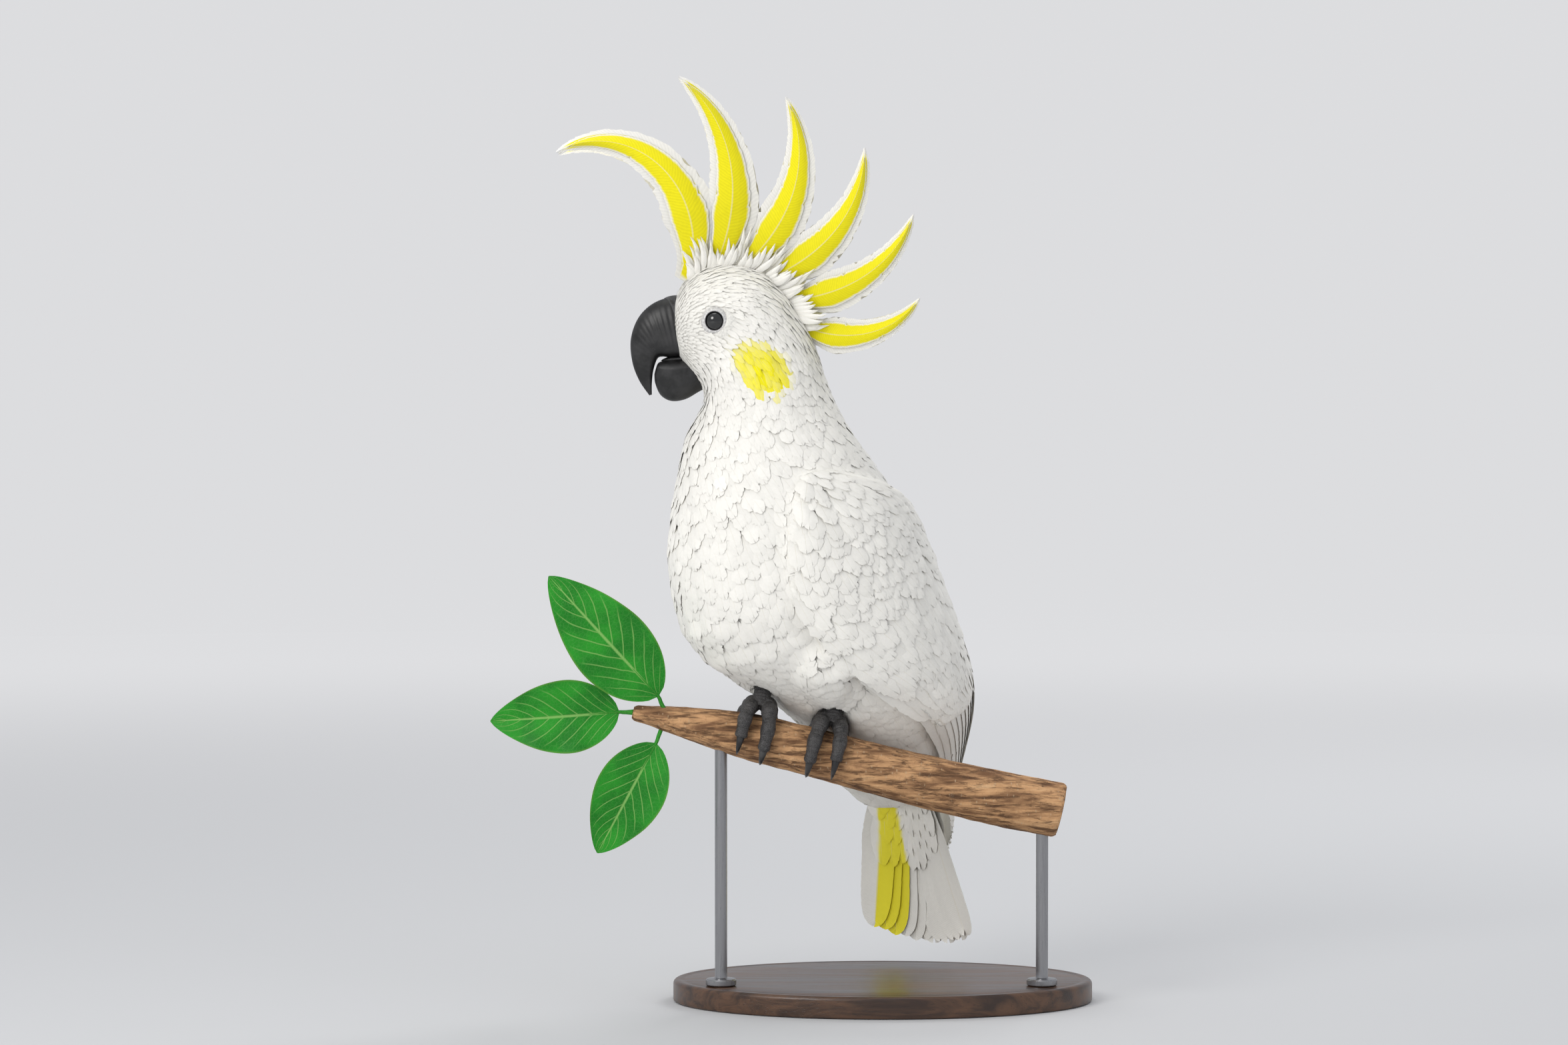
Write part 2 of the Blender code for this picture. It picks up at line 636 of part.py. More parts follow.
def foot(side, growth=0.0):
    """Two toes over the front of the branch and two behind it, with the shank they spring from.

    Returns the foot and its claws; with a growth they are the room to leave round them.
    """
    share = FEET[side]
    mirror = 1 if side == "left" else -1
    name = side if growth == 0 else "room_" + side
    radii = [radius + growth for radius in SHANK_RADII]
    shank = tube("foot_" + name, shank_points(side), radii, "foot_skin", 1)
    pieces = [shank]
    for number, (first, last, side_first, side_last, radius) in enumerate(TOES, 1):
        points, radii = toe_path(
            share, first, last, mirror * side_first, mirror * side_last, radius, growth
        )
        toe = tube(f"toe_{name}_{number}", points, radii, "foot_skin", 1)
        boolean(shank, as_cutter(toe), "UNION", "MANIFOLD")
        pieces.append(claw(f"claw_{name}_{number}", share, last, mirror * side_last, growth))
    return pieces


def leg(side, branch_cutter):
    """Thigh and foot; returns the room that each of their pieces needs, the thigh's first."""
    foot(side)
    rooms = [as_cutter(piece) for piece in foot(side, GAP)]
    piece = thigh(side)
    for cutter in [branch_cutter] + rooms:
        boolean(piece, cutter, "DIFFERENCE")
    return [as_cutter(thigh(side, CUT_GROWTH))] + rooms


def claw(name, share, toe_end, along, growth):
    """A curved claw that carries the toe's line on and turns its point to the bark."""
    way = 1 if toe_end > 0 else -1
    start = toe_end + way * CLAW_START
    points, radii = [], []
    for t in spread(0.0, 1.0, CLAW_STEPS + 1):
        lift = TOE_TIP_RADIUS + CLAW_ARCH * math.sin(math.pi * min(t * 1.1, 1.0)) - CLAW_DIP * t
        degrees = start + way * CLAW_ARC * t
        points.append(round_branch(share + along / BRANCH_LENGTH, degrees, lift + 2 * GAP))
        radii.append(blend(CLAW_RADIUS, CLAW_TIP_RADIUS, t ** 0.8) + growth)
    return tube(name, points, radii, "bill_horn", 1)


def leaf(name):
    """A blade with a fold along its midrib, on a short stalk from the branch."""
    share, reach, degrees, length, width, forward = LEAVES[name]
    start = branch_row(share)[0]
    neck = start + Vector(reach)
    turn = math.radians(degrees)
    along = Vector((math.cos(turn), forward / length, math.sin(turn))).normalized()
    across = along.cross(Vector((0, -1, 0))).normalized()
    up = across.cross(along)

    def point(row, column, face):
        outline = math.sin(math.pi * min(row, 0.999) ** 0.82) ** 0.72 * (1 - 0.10 * row)
        half = max(width / 2 * outline, LEAF_TIP)
        fold = LEAF_CAMBER * abs(column) * outline
        droop = -LEAF_DROOP * length * (row - 0.35) ** 2
        offset = fold + droop + face * LEAF_THICK / 2
        return neck + along * (length * row) + across * (half * column) + up * offset

    blade = finish(sheet(LEAF_ROWS, LEAF_COLUMNS, point), "leaf_" + name, "leaf")
    end = (point(STALK_END, 0, 1) + point(STALK_END, 0, -1)) / 2
    stalk = tube("stalk_" + name, [start, start.lerp(end, 0.6), end], [STALK_RADIUS] * 3, "leaf")
    return boolean(blade, as_cutter(stalk), "UNION")


def perch(branch_cutter):
    piece = branch("perch_branch")
    for name in LEAVES:
        boolean(leaf(name), branch_cutter, "DIFFERENCE")
    return piece


# ---------------------------------------------------------------- the stand

def cylinder(name, x, y, bottom, top, radius, finish_name):
    bm = bmesh.new()
    bmesh.ops.create_cone(
        bm, cap_ends=True, segments=ROD_SIDES, radius1=radius, radius2=radius, depth=top - bottom
    )
    bmesh.ops.translate(bm, verts=bm.verts, vec=(x, y, (bottom + top) / 2))
    return finish(bm, name, finish_name)


def branch_under(x):
    """Height of the branch's axis above a place."""
    share = (x - BRANCH_LEFT.x) / (BRANCH_RIGHT.x - BRANCH_LEFT.x)
    return branch_row(share)[0].z


def stand(branch_piece):
    """A flat oval base with two rods, each let into a hole in the base and one in the branch."""
    bm = bmesh.new()
    bmesh.ops.create_cone(bm, cap_ends=True, segments=BASE_SIDES, radius1=1, radius2=1, depth=BASE_THICK)
    bmesh.ops.scale(bm, vec=(BASE_HALF_LENGTH, BASE_HALF_DEPTH, 1), verts=bm.verts)
    bmesh.ops.translate(bm, verts=bm.verts, vec=(0, 0, BASE_THICK / 2))
    rim = [e for e in bm.edges if abs(e.verts[0].co.z - e.verts[1].co.z) < WELD]
    bmesh.ops.bevel(bm, geom=rim, offset=BASE_BEVEL, segments=1, profile=0.5, affect="EDGES")
    base = finish(bm, "stand_base", "base_wood")
    rod_y = BRANCH_LEFT.y
    for number, x in enumerate(ROD_PLACES, 1):
        foot_of_rod, head_of_rod = BASE_THICK - ROD_SEAT, branch_under(x)
        rod = cylinder(
            f"stand_rod_{number}", x, rod_y, foot_of_rod, head_of_rod, ROD_RADIUS, "rod_steel"
        )
        collar = cylinder(
            f"collar_{number}", x, rod_y, BASE_THICK + GAP, BASE_THICK + COLLAR_HEIGHT,
            COLLAR_RADIUS, "rod_steel",
        )
        boolean(rod, as_cutter(collar), "UNION")
        room = cylinder(
            f"rod_room_{number}", x, rod_y, foot_of_rod - GAP, head_of_rod + GAP,
            ROD_RADIUS + GAP, "rod_steel",
        )
        as_cutter(room)
        boolean(base, room, "DIFFERENCE")
        boolean(branch_piece, room, "DIFFERENCE")


def build():
    trunk, head = trunk_neck_head()
    trunk_cutter = body_cutter("trunk_room", 0, TRUNK_END, TRUNK_RINGS)
    neck_cutter = body_cutter("neck_room", TRUNK_END, NECK_END, NECK_RINGS)
    head_cutter = body_cutter("head_room", NECK_END, len(BODY) - 1, HEAD_RINGS)
    branch_cutter = as_cutter(branch("branch_room", GAP))
    boolean(trunk, branch_cutter, "DIFFERENCE")
    boolean(tail(), trunk_cutter, "DIFFERENCE")
    tail_cutter = tail_room()
    for side in ("left", "right"):
        eye_ball("eye_" + side, side, EYE_RADIUS)
        leg_rooms = leg(side, branch_cutter)
        for room in leg_rooms:
            boolean(trunk, room, "DIFFERENCE")
        wing(side, (trunk_cutter, neck_cutter, leg_rooms[0]), (trunk_cutter, tail_cutter))
        for number in range(len(CREST)):
            crest_feather(number, side, head_cutter)
    bill(head_cutter)
    stand(perch(branch_cutter))


for leftover in list(bpy.data.objects):
    bpy.data.objects.remove(leftover)
PARTS = collection("sulphur_crested_cockatoo")
CUTTERS = collection("cutters")
build()
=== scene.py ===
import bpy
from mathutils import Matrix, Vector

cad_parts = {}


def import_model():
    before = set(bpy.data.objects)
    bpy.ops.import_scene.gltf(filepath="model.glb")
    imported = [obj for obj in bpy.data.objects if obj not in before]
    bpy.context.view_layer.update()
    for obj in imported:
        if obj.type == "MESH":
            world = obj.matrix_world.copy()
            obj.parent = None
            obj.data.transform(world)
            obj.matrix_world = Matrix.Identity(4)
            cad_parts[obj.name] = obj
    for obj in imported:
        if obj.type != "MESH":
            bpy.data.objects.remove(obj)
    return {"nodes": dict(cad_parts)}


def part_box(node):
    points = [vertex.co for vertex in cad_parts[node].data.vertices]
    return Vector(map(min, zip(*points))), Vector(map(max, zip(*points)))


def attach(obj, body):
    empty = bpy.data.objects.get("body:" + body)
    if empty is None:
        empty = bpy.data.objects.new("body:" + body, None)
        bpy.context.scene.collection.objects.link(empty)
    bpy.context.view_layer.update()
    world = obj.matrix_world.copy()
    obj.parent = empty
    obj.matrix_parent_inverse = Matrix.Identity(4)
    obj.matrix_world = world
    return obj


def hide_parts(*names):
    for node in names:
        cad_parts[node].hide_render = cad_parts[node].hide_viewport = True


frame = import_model()

"""Looks of the life-size sulphur-crested cockatoo on its branch and stand.

Metres, +Z up, the bird faces -X and its left side is towards -Y. The body is described in its own
profile: `ahead` runs from tail to bill, `aside` to the bird's left. One skin carries every small
feather; the flight feathers, tail and crest are laid out one by one.
"""

import math
from functools import cached_property

import bmesh
import bpy
import numpy as np
from mathutils import Vector, noise
from mathutils.bvhtree import BVHTree
from mathutils.kdtree import KDTree

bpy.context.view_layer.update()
RNG = np.random.default_rng(11)
MM = 0.001
SIDES = {"left": 1.0, "right": -1.0}

# ---------------------------------------------------------------- the shape the solids were made to

TURN_X, TURN_Y = -0.076, -0.030
TRUNK_TURN, TAIL_TURN = 30.0, 16.0
NECK_TOP, NECK_FOOT = 0.405, 0.305
RUMP_TOP, RUMP_FOOT = 0.22, 0.13
# Sections from tail root to face: ahead, height, lean in degrees, radii below, above, to the side.
BODY = (
    (-0.1260, 0.128, 20, 0.0200, 0.0200, 0.0290),
    (-0.1150, 0.158, 30, 0.0400, 0.0340, 0.0420),
    (-0.0900, 0.195, 34, 0.0480, 0.0540, 0.0550),
    (-0.0600, 0.235, 33, 0.0660, 0.0680, 0.0660),
    (-0.0350, 0.276, 28, 0.0960, 0.0740, 0.0700),
    (-0.0170, 0.316, 20, 0.0900, 0.0700, 0.0670),
    (-0.0050, 0.352, 13, 0.0690, 0.0600, 0.0590),
    (0.0030, 0.383, 15, 0.0540, 0.0490, 0.0490),
    (0.0110, 0.412, 38, 0.0460, 0.0480, 0.0450),
    (0.0240, 0.434, 66, 0.0420, 0.0510, 0.0425),
    (0.0400, 0.4430, 84, 0.0385, 0.0410, 0.0350),
    (0.0515, 0.4445, 92, 0.0320, 0.0300, 0.0290),
    (0.0600, 0.4430, 94, 0.0190, 0.0170, 0.0160),
)
EYE = (0.0330, 0.0350, 0.4465)          # ahead, aside, height
EYE_RADIUS = 0.0078
EYE_SUNK = 0.0010                       # the lids and feathers stand up round the eye by this much
BILL_BASE = (0.0620, 0.4370)            # ahead, height: feathers of the face fan out from here
CREST_FRONT, CREST_BACK = 10.85, 8.15   # stations of the foremost and the hindmost root
# Crest feathers, front to back: length, degrees up from the front at root and tip, half width.
CREST = (
    (0.146, 102, -24, 0.0132),
    (0.131, 114, 40, 0.0130),
    (0.118, 138, 66, 0.0122),
    (0.108, 157, 92, 0.0112),
    (0.102, 176, 112, 0.0102),
    (0.084, 203, 127, 0.0090),
)
CREST_DEPTH, CREST_SPLAY, CREST_ASIDE, CREST_CURL = 0.0050, 6.0, 0.0030, 1.25
CREST_CUP = 0.32                     # how rounded a crest feather is across
CREST_THICK = 0.0005
# The feathers with a white border stand behind the yellow ones, longer and wider by these.
BACKING_REACH, BACKING_WIDTH, BACKING_CUP = 1.06, 1.42, 0.11
# Sections of the folded wing from shoulder to tip, as in BODY.
CLOAK = (
    (0.0000, 0.347, 14, 0.0720, 0.0660, 0.0650),
    (-0.0170, 0.316, 20, 0.0980, 0.0780, 0.0750),
    (-0.0350, 0.275, 27, 0.1090, 0.0810, 0.0790),
    (-0.0600, 0.233, 31, 0.0960, 0.0760, 0.0760),
    (-0.0890, 0.192, 29, 0.0700, 0.0640, 0.0660),
    (-0.1110, 0.154, 23, 0.0520, 0.0480, 0.0540),
    (-0.1250, 0.118, 15, 0.0420, 0.0380, 0.0460),
    (-0.1340, 0.082, 11, 0.0360, 0.0310, 0.0400),
)
# Its upper and lower edge, in degrees round from the back, from shoulder to tip.
WING_EDGES = ((60, 98), (32, 116), (15, 119), (9, 112), (6, 98), (5, 82), (6, 62), (12, 36))
WING_LENGTH = 0.285
COVERT_COLUMNS = -0.93, 0.97         # the coverts' rows run between these columns
# Two kinds of coverts: shares of the wing where rows start, length, half width, lift at root and tip.
LESSER_COVERTS = np.linspace(-0.03, 0.29, 17), 0.0200, 0.0054, (-0.0034, 0.0002)
MEDIAN_COVERTS = np.linspace(0.305, 0.405, 5), 0.027, 0.0070, (-0.0036, -0.0003)
GREATERS, INNERS, PRIMARIES = 16, 12, 9                 # how many of each; tertials are inner ones
GREATER_ROOT, GREATER_TIP = 0.425, 0.602                # as shares of the wing
INNER_ROOT, PRIMARY_ROOT = 0.50, 0.60
INNER_TIPS, PRIMARY_TIPS = (0.745, 0.850), (0.872, 0.996)
THICK, COVERT_THICK = 0.0004, 0.00016                   # of a large feather, and of a covert
EDGE_SINK = 0.0042                   # how far the coverts dip towards the body at a wing's edges
RACHIS = 0.00035                     # how far the shaft of a large feather stands up
TAIL_ROOT, TAIL_TIP = (-0.1255, 0.1325), (-0.1500, 0.0270)
TAIL_HALF_ROOT, TAIL_HALF_TIP, TAIL_ROOF = 0.0300, 0.0540, 0.0110
# Rows of coverts above and below it: where each starts along the tail, and how far it reaches.
TAIL_COVERTS = (0.10, 0.40), (0.02, 0.36), (-0.05, 0.34), (-0.12, 0.32)
TAIL_MIDDLE = 5.5                    # the twelve feathers are numbered from 0
TAIL_TILT = 0.09                     # slope of each tail feather, its inner edge lower
STRIPE_OUTER, STRIPE_INNER = (-0.62, -0.80), (-0.20, -0.08)     # columns of the stripe's two edges
STRIPE_BLUR = 0.07                   # how softly the stripe ends, as columns
# Sections of the bill: ahead and height of the upper edge, the same of the lower, half width.
UPPER_BILL = (
    (0.0440, 0.4605, 0.0440, 0.4250, 0.0130),
    (0.0600, 0.4625, 0.0545, 0.4238, 0.0132),
    (0.0735, 0.4585, 0.0625, 0.4232, 0.0120),
    (0.0835, 0.4490, 0.0680, 0.4236, 0.0102),
    (0.0885, 0.4350, 0.0712, 0.4222, 0.0080),
    (0.0875, 0.4200, 0.0738, 0.4150, 0.0054),
    (0.0830, 0.4080, 0.0748, 0.4062, 0.0031),
    (0.0765, 0.3985, 0.0748, 0.3990, 0.0009),
)
LOWER_BILL = (
    (0.0420, 0.4230, 0.0440, 0.4010, 0.0112),
    (0.0510, 0.4224, 0.0530, 0.3960, 0.0116),
    (0.0600, 0.4216, 0.0620, 0.3948, 0.0112),
    (0.0665, 0.4210, 0.0690, 0.3985, 0.0096),
    (0.0706, 0.4196, 0.0726, 0.4060, 0.0072),
    (0.0722, 0.4160, 0.0732, 0.4120, 0.0036),
)
LOWER_BILL_ROOT = (0.0320, 0.4205, 0.0330, 0.4070, 0.0092)      # hidden in the feathers of the chin
UPPER_WIDEST, BILL_ROUND = 0.22, 0.9            # share of the height; how square its sections are
CERE_SWELL, CERE_THICK, NOSTRIL_DEPTH = 0.0009, 0.0016, 0.0014
LID_WIDTH, LID_HEIGHT = 0.0031, 0.00070
BRANCH_LEFT, BRANCH_RIGHT = np.array((-0.163, -0.035, 0.1925)), np.array((0.1150, -0.035, 0.1285))
BRANCH_RADII = (0.0055, 0.0110, 0.0152, 0.0164, 0.0168, 0.0174, 0.0178, 0.0186, 0.0184)
BRANCH_SWAY = 0.0016
# Healed knots: share of the branch, degrees round it, size.
KNOTS = (0.60, 60, 0.0085), (0.80, 150, 0.0075), (0.20, 200, 0.0060), (0.70, -70, 0.0080)
FEET = {"right": 0.280, "left": 0.445}          # share of the way along the branch
# Degrees round the branch at root and tip, places along it at root and tip, radius of the root.
TOES = (
    (-10, 106, -0.0052, -0.0082, 0.0057),
    (-10, 92, 0.0052, 0.0080, 0.0054),
    (10, -98, -0.0050, -0.0096, 0.0053),
    (10, -78, 0.0050, 0.0092, 0.0050),
)
TOE_TIP_RADIUS, CLAW_RADIUS, CLAW_ARC = 0.0042, 0.0031, 38.0
TOE_ROWS, TOE_PAD, TOE_GAP = 64, 0.00035, 0.0004
SCUTES_PER_TOE, SCUTE_GROOVE, PEBBLE = 12, 0.00050, 0.00026
FOOT_VOXEL = 0.00052
SOLE_LIFT = 0.0068                   # the sole's middle over the branch
SHANK_REACH = np.array((0.004, 0.008, 0.024))
SHANK_RADII = (-0.1, 0, 0.33, 0.66, 1), (0.0066, 0.0064, 0.0056, 0.0052, 0.0054)
STALK_RADII = (0, 0.25, 0.6, 1), (0.0019, 0.0014, 0.0012, 0.0003)
LEAF_ARCH = 0.16                     # how much a leaf bends down along its length
LEAF_THICK, LEAF_GREEN = 0.0008, np.array([(0.1, 0.4, 0.1)])
LEAVES = {
    # Share of the branch, reach to the blade, angle, length, width and how far it leans forward.
    "upper": (0.085, (-0.0070, -0.004, 0.0150), 132, 0.106, 0.054, -0.014),
    "middle": (0.000, (-0.0090, 0.001, 0.0000), 184, 0.084, 0.050, -0.006),
    "lower": (0.075, (-0.0060, -0.003, -0.0160), 242, 0.084, 0.048, 0.010),
}
WHITE, YELLOW = np.array((0.875, 0.855, 0.795)), np.array((0.90, 0.80, 0.006))
STUDIO_NEAR, STUDIO_FAR, STUDIO_GLOW = (0.60, 0.603, 0.608), (0.20, 0.20, 0.203), 0.60
FLOOR, WALL_BEND = 4.2, 1.6          # radius of the studio's floor, and of its bend into the wall
# Lamps: name, place, size, watts, colour. All look at one point on the bird.
LAMPS = (
    ("key", (-1.45, -1.75, 1.75), 1.2, 25.0, (1.0, 0.985, 0.96)),
    ("fill", (1.7, -1.5, 0.95), 1.8, 4.0, (0.95, 0.975, 1.0)),
    ("low", (-1.0, -1.9, 0.25), 1.0, 13.0, (1.0, 1.0, 1.0)),
    ("rim", (1.0, 1.6, 1.7), 1.1, 16.0, (1.0, 1.0, 1.0)),
    ("top", (-0.3, 0.1, 2.3), 1.3, 8.0, (1.0, 1.0, 1.0)),
)
LAMPS_AIM = (-0.06, -0.03, 0.30)
SKY, SKY_STRENGTH = (0.93, 0.95, 1.0, 1.0), 0.60
CAMERA_AIM, CAMERA_RISE = (-0.065, -0.035, 0.316), math.radians(2.0)
LENS, VIEW_WIDTH = 105.0, 1.018      # millimetres, and metres across the picture at the bird
ROD = 0.0040                         # radius of the stand's rods
BASE_FOOT, BASE_EDGE = 0.0012, 0.0030      # how round the stand's base is at its foot and its top
# The way that the underside of the tail looks.
TAIL_UNDER = tuple(-math.sin(math.radians(TRUNK_TURN + TAIL_TURN + a)) for a in (90, 0)) + (0.0,)


def ease(share):
    """0 to 1 on an S-curve while the share goes from 0 to 1."""
    share = np.clip(share, 0.0, 1.0)
    return share * share * (3 - 2 * share)


def lerp(first, second, share):
    return first + (second - first) * share


def rows_of(table, where):
    """Rows of a table at fractional indices, on a smooth curve through its rows."""
    table = np.asarray(table, float)
    last = len(table) - 1
    where = np.clip(np.asarray(where, float), 0, last)
    index = np.minimum(where.astype(int), last - 1)
    t = (where - index)[..., None]
    a, b, c, d = (table[np.clip(index + k, 0, last)] for k in (-1, 0, 1, 2))
    return b + 0.5 * t * (c - a + t * (2 * a - 5 * b + 4 * c - d + t * (3 * (b - c) + d - a)))


def along(values, where):
    """A single value per station, read straight between stations."""
    return np.interp(where, np.arange(len(values)), values)


def turn_at(height):
    """How far the body is turned under the head at a height, in radians."""
    neck = ease((NECK_TOP - height) / (NECK_TOP - NECK_FOOT))
    rump = ease((RUMP_TOP - height) / (RUMP_TOP - RUMP_FOOT))
    return np.radians(TRUNK_TURN * neck + TAIL_TURN * rump)


def world(ahead, aside, height):
    """Places of the profile as world points."""
    ahead, aside, height = np.broadcast_arrays(ahead, aside, height)
    turn = turn_at(height)
    return np.stack((
        TURN_X - ahead * np.cos(turn) + aside * np.sin(turn),
        TURN_Y - ahead * np.sin(turn) - aside * np.cos(turn),
        height,
    ), axis=-1)


def profile(points):
    """World points as (ahead, aside, height)."""
    x, y, height = points[..., 0] - TURN_X, points[..., 1] - TURN_Y, points[..., 2]
    turn = turn_at(height)
    ahead = -(x * np.cos(turn) + y * np.sin(turn))
    aside = x * np.sin(turn) - y * np.cos(turn)
    return np.stack((ahead, aside, height), axis=-1)


def section(row, around, growth):
    """Ahead, aside and height of places round a section, in radians from the back, grown by so much."""
    ahead, height, lean, below, above, side = np.moveaxis(row, -1, 0)
    lean = np.radians(lean)
    depth = -np.cos(around) * (np.where(np.cos(around) > 0, above, below) + growth)
    across = np.sin(around) * (side + growth)
    return ahead + depth * np.cos(lean), across, height - depth * np.sin(lean)


SPINE_U = np.linspace(0, len(BODY) - 1, 481)
SPINE = rows_of(BODY, SPINE_U)


def stations(prof):
    """Station along the spine and way round it (0 back, pi/2 left, pi below) of profile points."""
    gap = (prof[:, None, 0] - SPINE[None, :, 0]) ** 2 + (prof[:, None, 2] - SPINE[None, :, 1]) ** 2
    near = gap.argmin(axis=1)
    lean = np.radians(SPINE[near, 2])
    back = -(prof[:, 0] - SPINE[near, 0]) * np.cos(lean) + (prof[:, 2] - SPINE[near, 1]) * np.sin(lean)
    return SPINE_U[near], np.arctan2(prof[:, 1], back)


def unit(vectors):
    return vectors / np.maximum(np.linalg.norm(vectors, axis=-1, keepdims=True), 1e-12)


def flattened(vectors, normals):
    """Vectors as they lie in the plane that the normals are square to."""
    return vectors - (vectors * normals).sum(-1, keepdims=True) * normals


def turns(count):
    """That many directions once round, in radians."""
    return np.linspace(0, 2 * np.pi, count, endpoint=False)


def near_one(amount):
    """A random factor that strays from 1 by about that amount."""
    return 1 + amount * RNG.normal()


def kd_tree(points):
    tree = KDTree(len(points))
    for index, point in enumerate(points.tolist()):
        tree.insert(point, index)
    tree.balance()
    return tree


# ---------------------------------------------------------------- meshes

def read(items, key, kind):
    """What a mesh's vertices or triangles say, three numbers each."""
    values = np.empty(len(items) * 3, kind)
    items.foreach_get(key, values)
    return values.reshape(-1, 3)


def vertex_arrays(mesh):
    return [read(mesh.vertices, key, np.float32).astype(float) for key in ("co", "normal")]


def triangles(mesh):
    mesh.calc_loop_triangles()
    return read(mesh.loop_triangles, "vertices", np.int32)


def move_points(mesh, points):
    """Puts a mesh's vertices at these points."""
    mesh.vertices.foreach_set("co", points.astype(np.float32).ravel())
    mesh.update()


def put_tint(mesh, tint):
    """Gives every vertex its colour, which the materials read."""
    layer = mesh.color_attributes.new("tint", "FLOAT_COLOR", "POINT")
    rgba = np.concatenate((tint, np.ones((len(tint), 1))), axis=1)
    layer.data.foreach_set("color", rgba.astype(np.float32).ravel())


def add_object(name, mesh):
    obj = bpy.data.objects.new(name, mesh)
    bpy.context.scene.collection.objects.link(obj)
    return obj


def add_mesh(name, points, faces, maps):
    """An object from arrays: faces are quads; maps are UVs per vertex."""
    mesh = bpy.data.meshes.new(name)
    mesh.vertices.add(len(points))
    mesh.loops.add(faces.size)
    mesh.loops.foreach_set("vertex_index", faces.ravel().astype(np.int32))
    mesh.polygons.add(len(faces))
    mesh.polygons.foreach_set("loop_start", np.arange(0, faces.size, 4, dtype=np.int32))
    mesh.vertices.foreach_set("co", points.astype(np.float32).ravel())
    mesh.update(calc_edges=True)
    for title, uv in maps.items():
        layer = mesh.uv_layers.new(name=title)
        layer.uv.foreach_set("vector", uv[faces.ravel()].astype(np.float32).ravel())
    mesh.shade_smooth()
    return add_object(name, mesh)


def dress(obj, made, replaced=()):
    """Gives a piece its material, slot and body, and hides the solids that it stands for."""
    obj.data.materials.clear()
    obj.data.materials.append(made)
    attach(obj, "root")
    if replaced:
        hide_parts(*replaced)
    return obj


def tube_quads(rows, sides, ring=False):
    """Quads between rows of places that go round; in a ring, the last row joins the first."""
    i, j = np.meshgrid(np.arange(rows if ring else rows - 1), np.arange(sides), indexing="ij")
    here, there = i * sides, (i + 1) % rows * sides
    after = (j + 1) % sides
    return np.stack((here + j, here + after, there + after, there + j), -1).reshape(-1, 4)


def loft(rings, caps=True):
    """Points and quads of a tube through rings (rows, sides, 3), with uv (round, along)."""
    rings = np.asarray(rings, float)
    rows, sides = rings.shape[:2]
    points = rings.reshape(-1, 3)
    quads = tube_quads(rows, sides)
    uv = np.stack(np.meshgrid(np.arange(sides) / sides, np.linspace(0, 1, rows)), -1).reshape(-1, 2)
    if caps:
        # A cap closes on a small ring, so that every face stays a quad.
        j, half = np.arange(sides), np.arange(sides // 2 - 1)
        after = (j + 1) % sides
        for row, way in ((0, -1), (rows - 1, 1)):
            ring = rings[row]
            rim, start, last = row * sides, len(points), len(points) + sides - 1
            points = np.concatenate((points, lerp(ring, ring.mean(axis=0), 0.999)))
            uv = np.concatenate((uv, uv[rim:rim + sides]))
            cap = np.stack((rim + j, rim + after, start + after, start + j), -1)
            inner = np.stack((start + half, start + half + 1, last - 1 - half, last - half), -1)
            quads = np.concatenate((quads, cap[:, ::way], inner[:, ::way]))
    return points, quads, uv


def joined(parts):
    """Several (points, faces, uv) as one."""
    points, faces, uvs, start = [], [], [], 0
    for part_points, part_faces, part_uv in parts:
        points.append(part_points)
        faces.append(np.asarray(part_faces) + start)
        uvs.append(part_uv)
        start += len(part_points)
    return np.concatenate(points), np.concatenate(faces), np.concatenate(uvs)


def recalculated(obj):
    """The object with its faces turned outwards."""
    bm = bmesh.new()
    bm.from_mesh(obj.data)
    bmesh.ops.recalc_face_normals(bm, faces=bm.faces)
    bm.to_mesh(obj.data)
    bm.free()
    return obj


def add_loft(name, parts):
    """One object of several lofts."""
    points, faces, uv = joined(parts)
    return recalculated(add_mesh(name, points, faces, {"Vane": uv}))


def one_body(obj, voxel, rounds):
    """The object's parts as one closed surface, softened a little."""
    remesh = obj.modifiers.new("one_body", "REMESH")
    remesh.mode, remesh.voxel_size = "VOXEL", voxel
    soften = obj.modifiers.new("soften", "SMOOTH")
    soften.factor, soften.iterations = 0.5, rounds
    bpy.context.view_layer.update()
    seen = obj.evaluated_get(bpy.context.evaluated_depsgraph_get())
    mesh = bpy.data.meshes.new_from_object(seen)
    obj.modifiers.clear()
    obj.data = mesh
    mesh.shade_smooth()
    return mesh


def sweep(path, radii, sides, outward, squash=1.0):
    """Rings of a tube; `outward` gives each ring's direction of 0 degrees."""
    path = np.asarray(path, float)
    ahead = unit(np.gradient(path, axis=0))
    up = unit(flattened(np.asarray(outward, float), ahead))
    side = np.cross(ahead, up)
    turn = turns(sides)
    radii = np.asarray(radii, float)
    radii = radii[:, None] if radii.ndim == 1 else radii
    ring = up[:, None] * (np.cos(turn) * radii)[..., None] * squash
    return path[:, None] + ring + side[:, None] * (np.sin(turn) * radii)[..., None]


# ---------------------------------------------------------------- materials

class Value:
    """A node's output, so that a sum of two is written as a sum."""

    def __init__(self, paint, socket):
        self.paint, self.socket = paint, socket

    def __add__(self, other):
        return self.paint.math("ADD", self, other)

    def __sub__(self, other):
        return self.paint.math("SUBTRACT", self, other)

    def __mul__(self, other):
        return self.paint.math("MULTIPLY", self, other)

    def times_plus(self, factor, more):
        return self.paint.math("MULTIPLY_ADD", self, factor, more)

    def ramp(self, low, high, to_low=0.0, to_high=1.0):
        """Eases from to_low to to_high while the value goes from low to high."""
        inputs = {0: self, 1: low, 2: high, 3: to_low, 4: to_high}
        return self.paint.add("ShaderNodeMapRange", inputs, interpolation_type="SMOOTHSTEP")


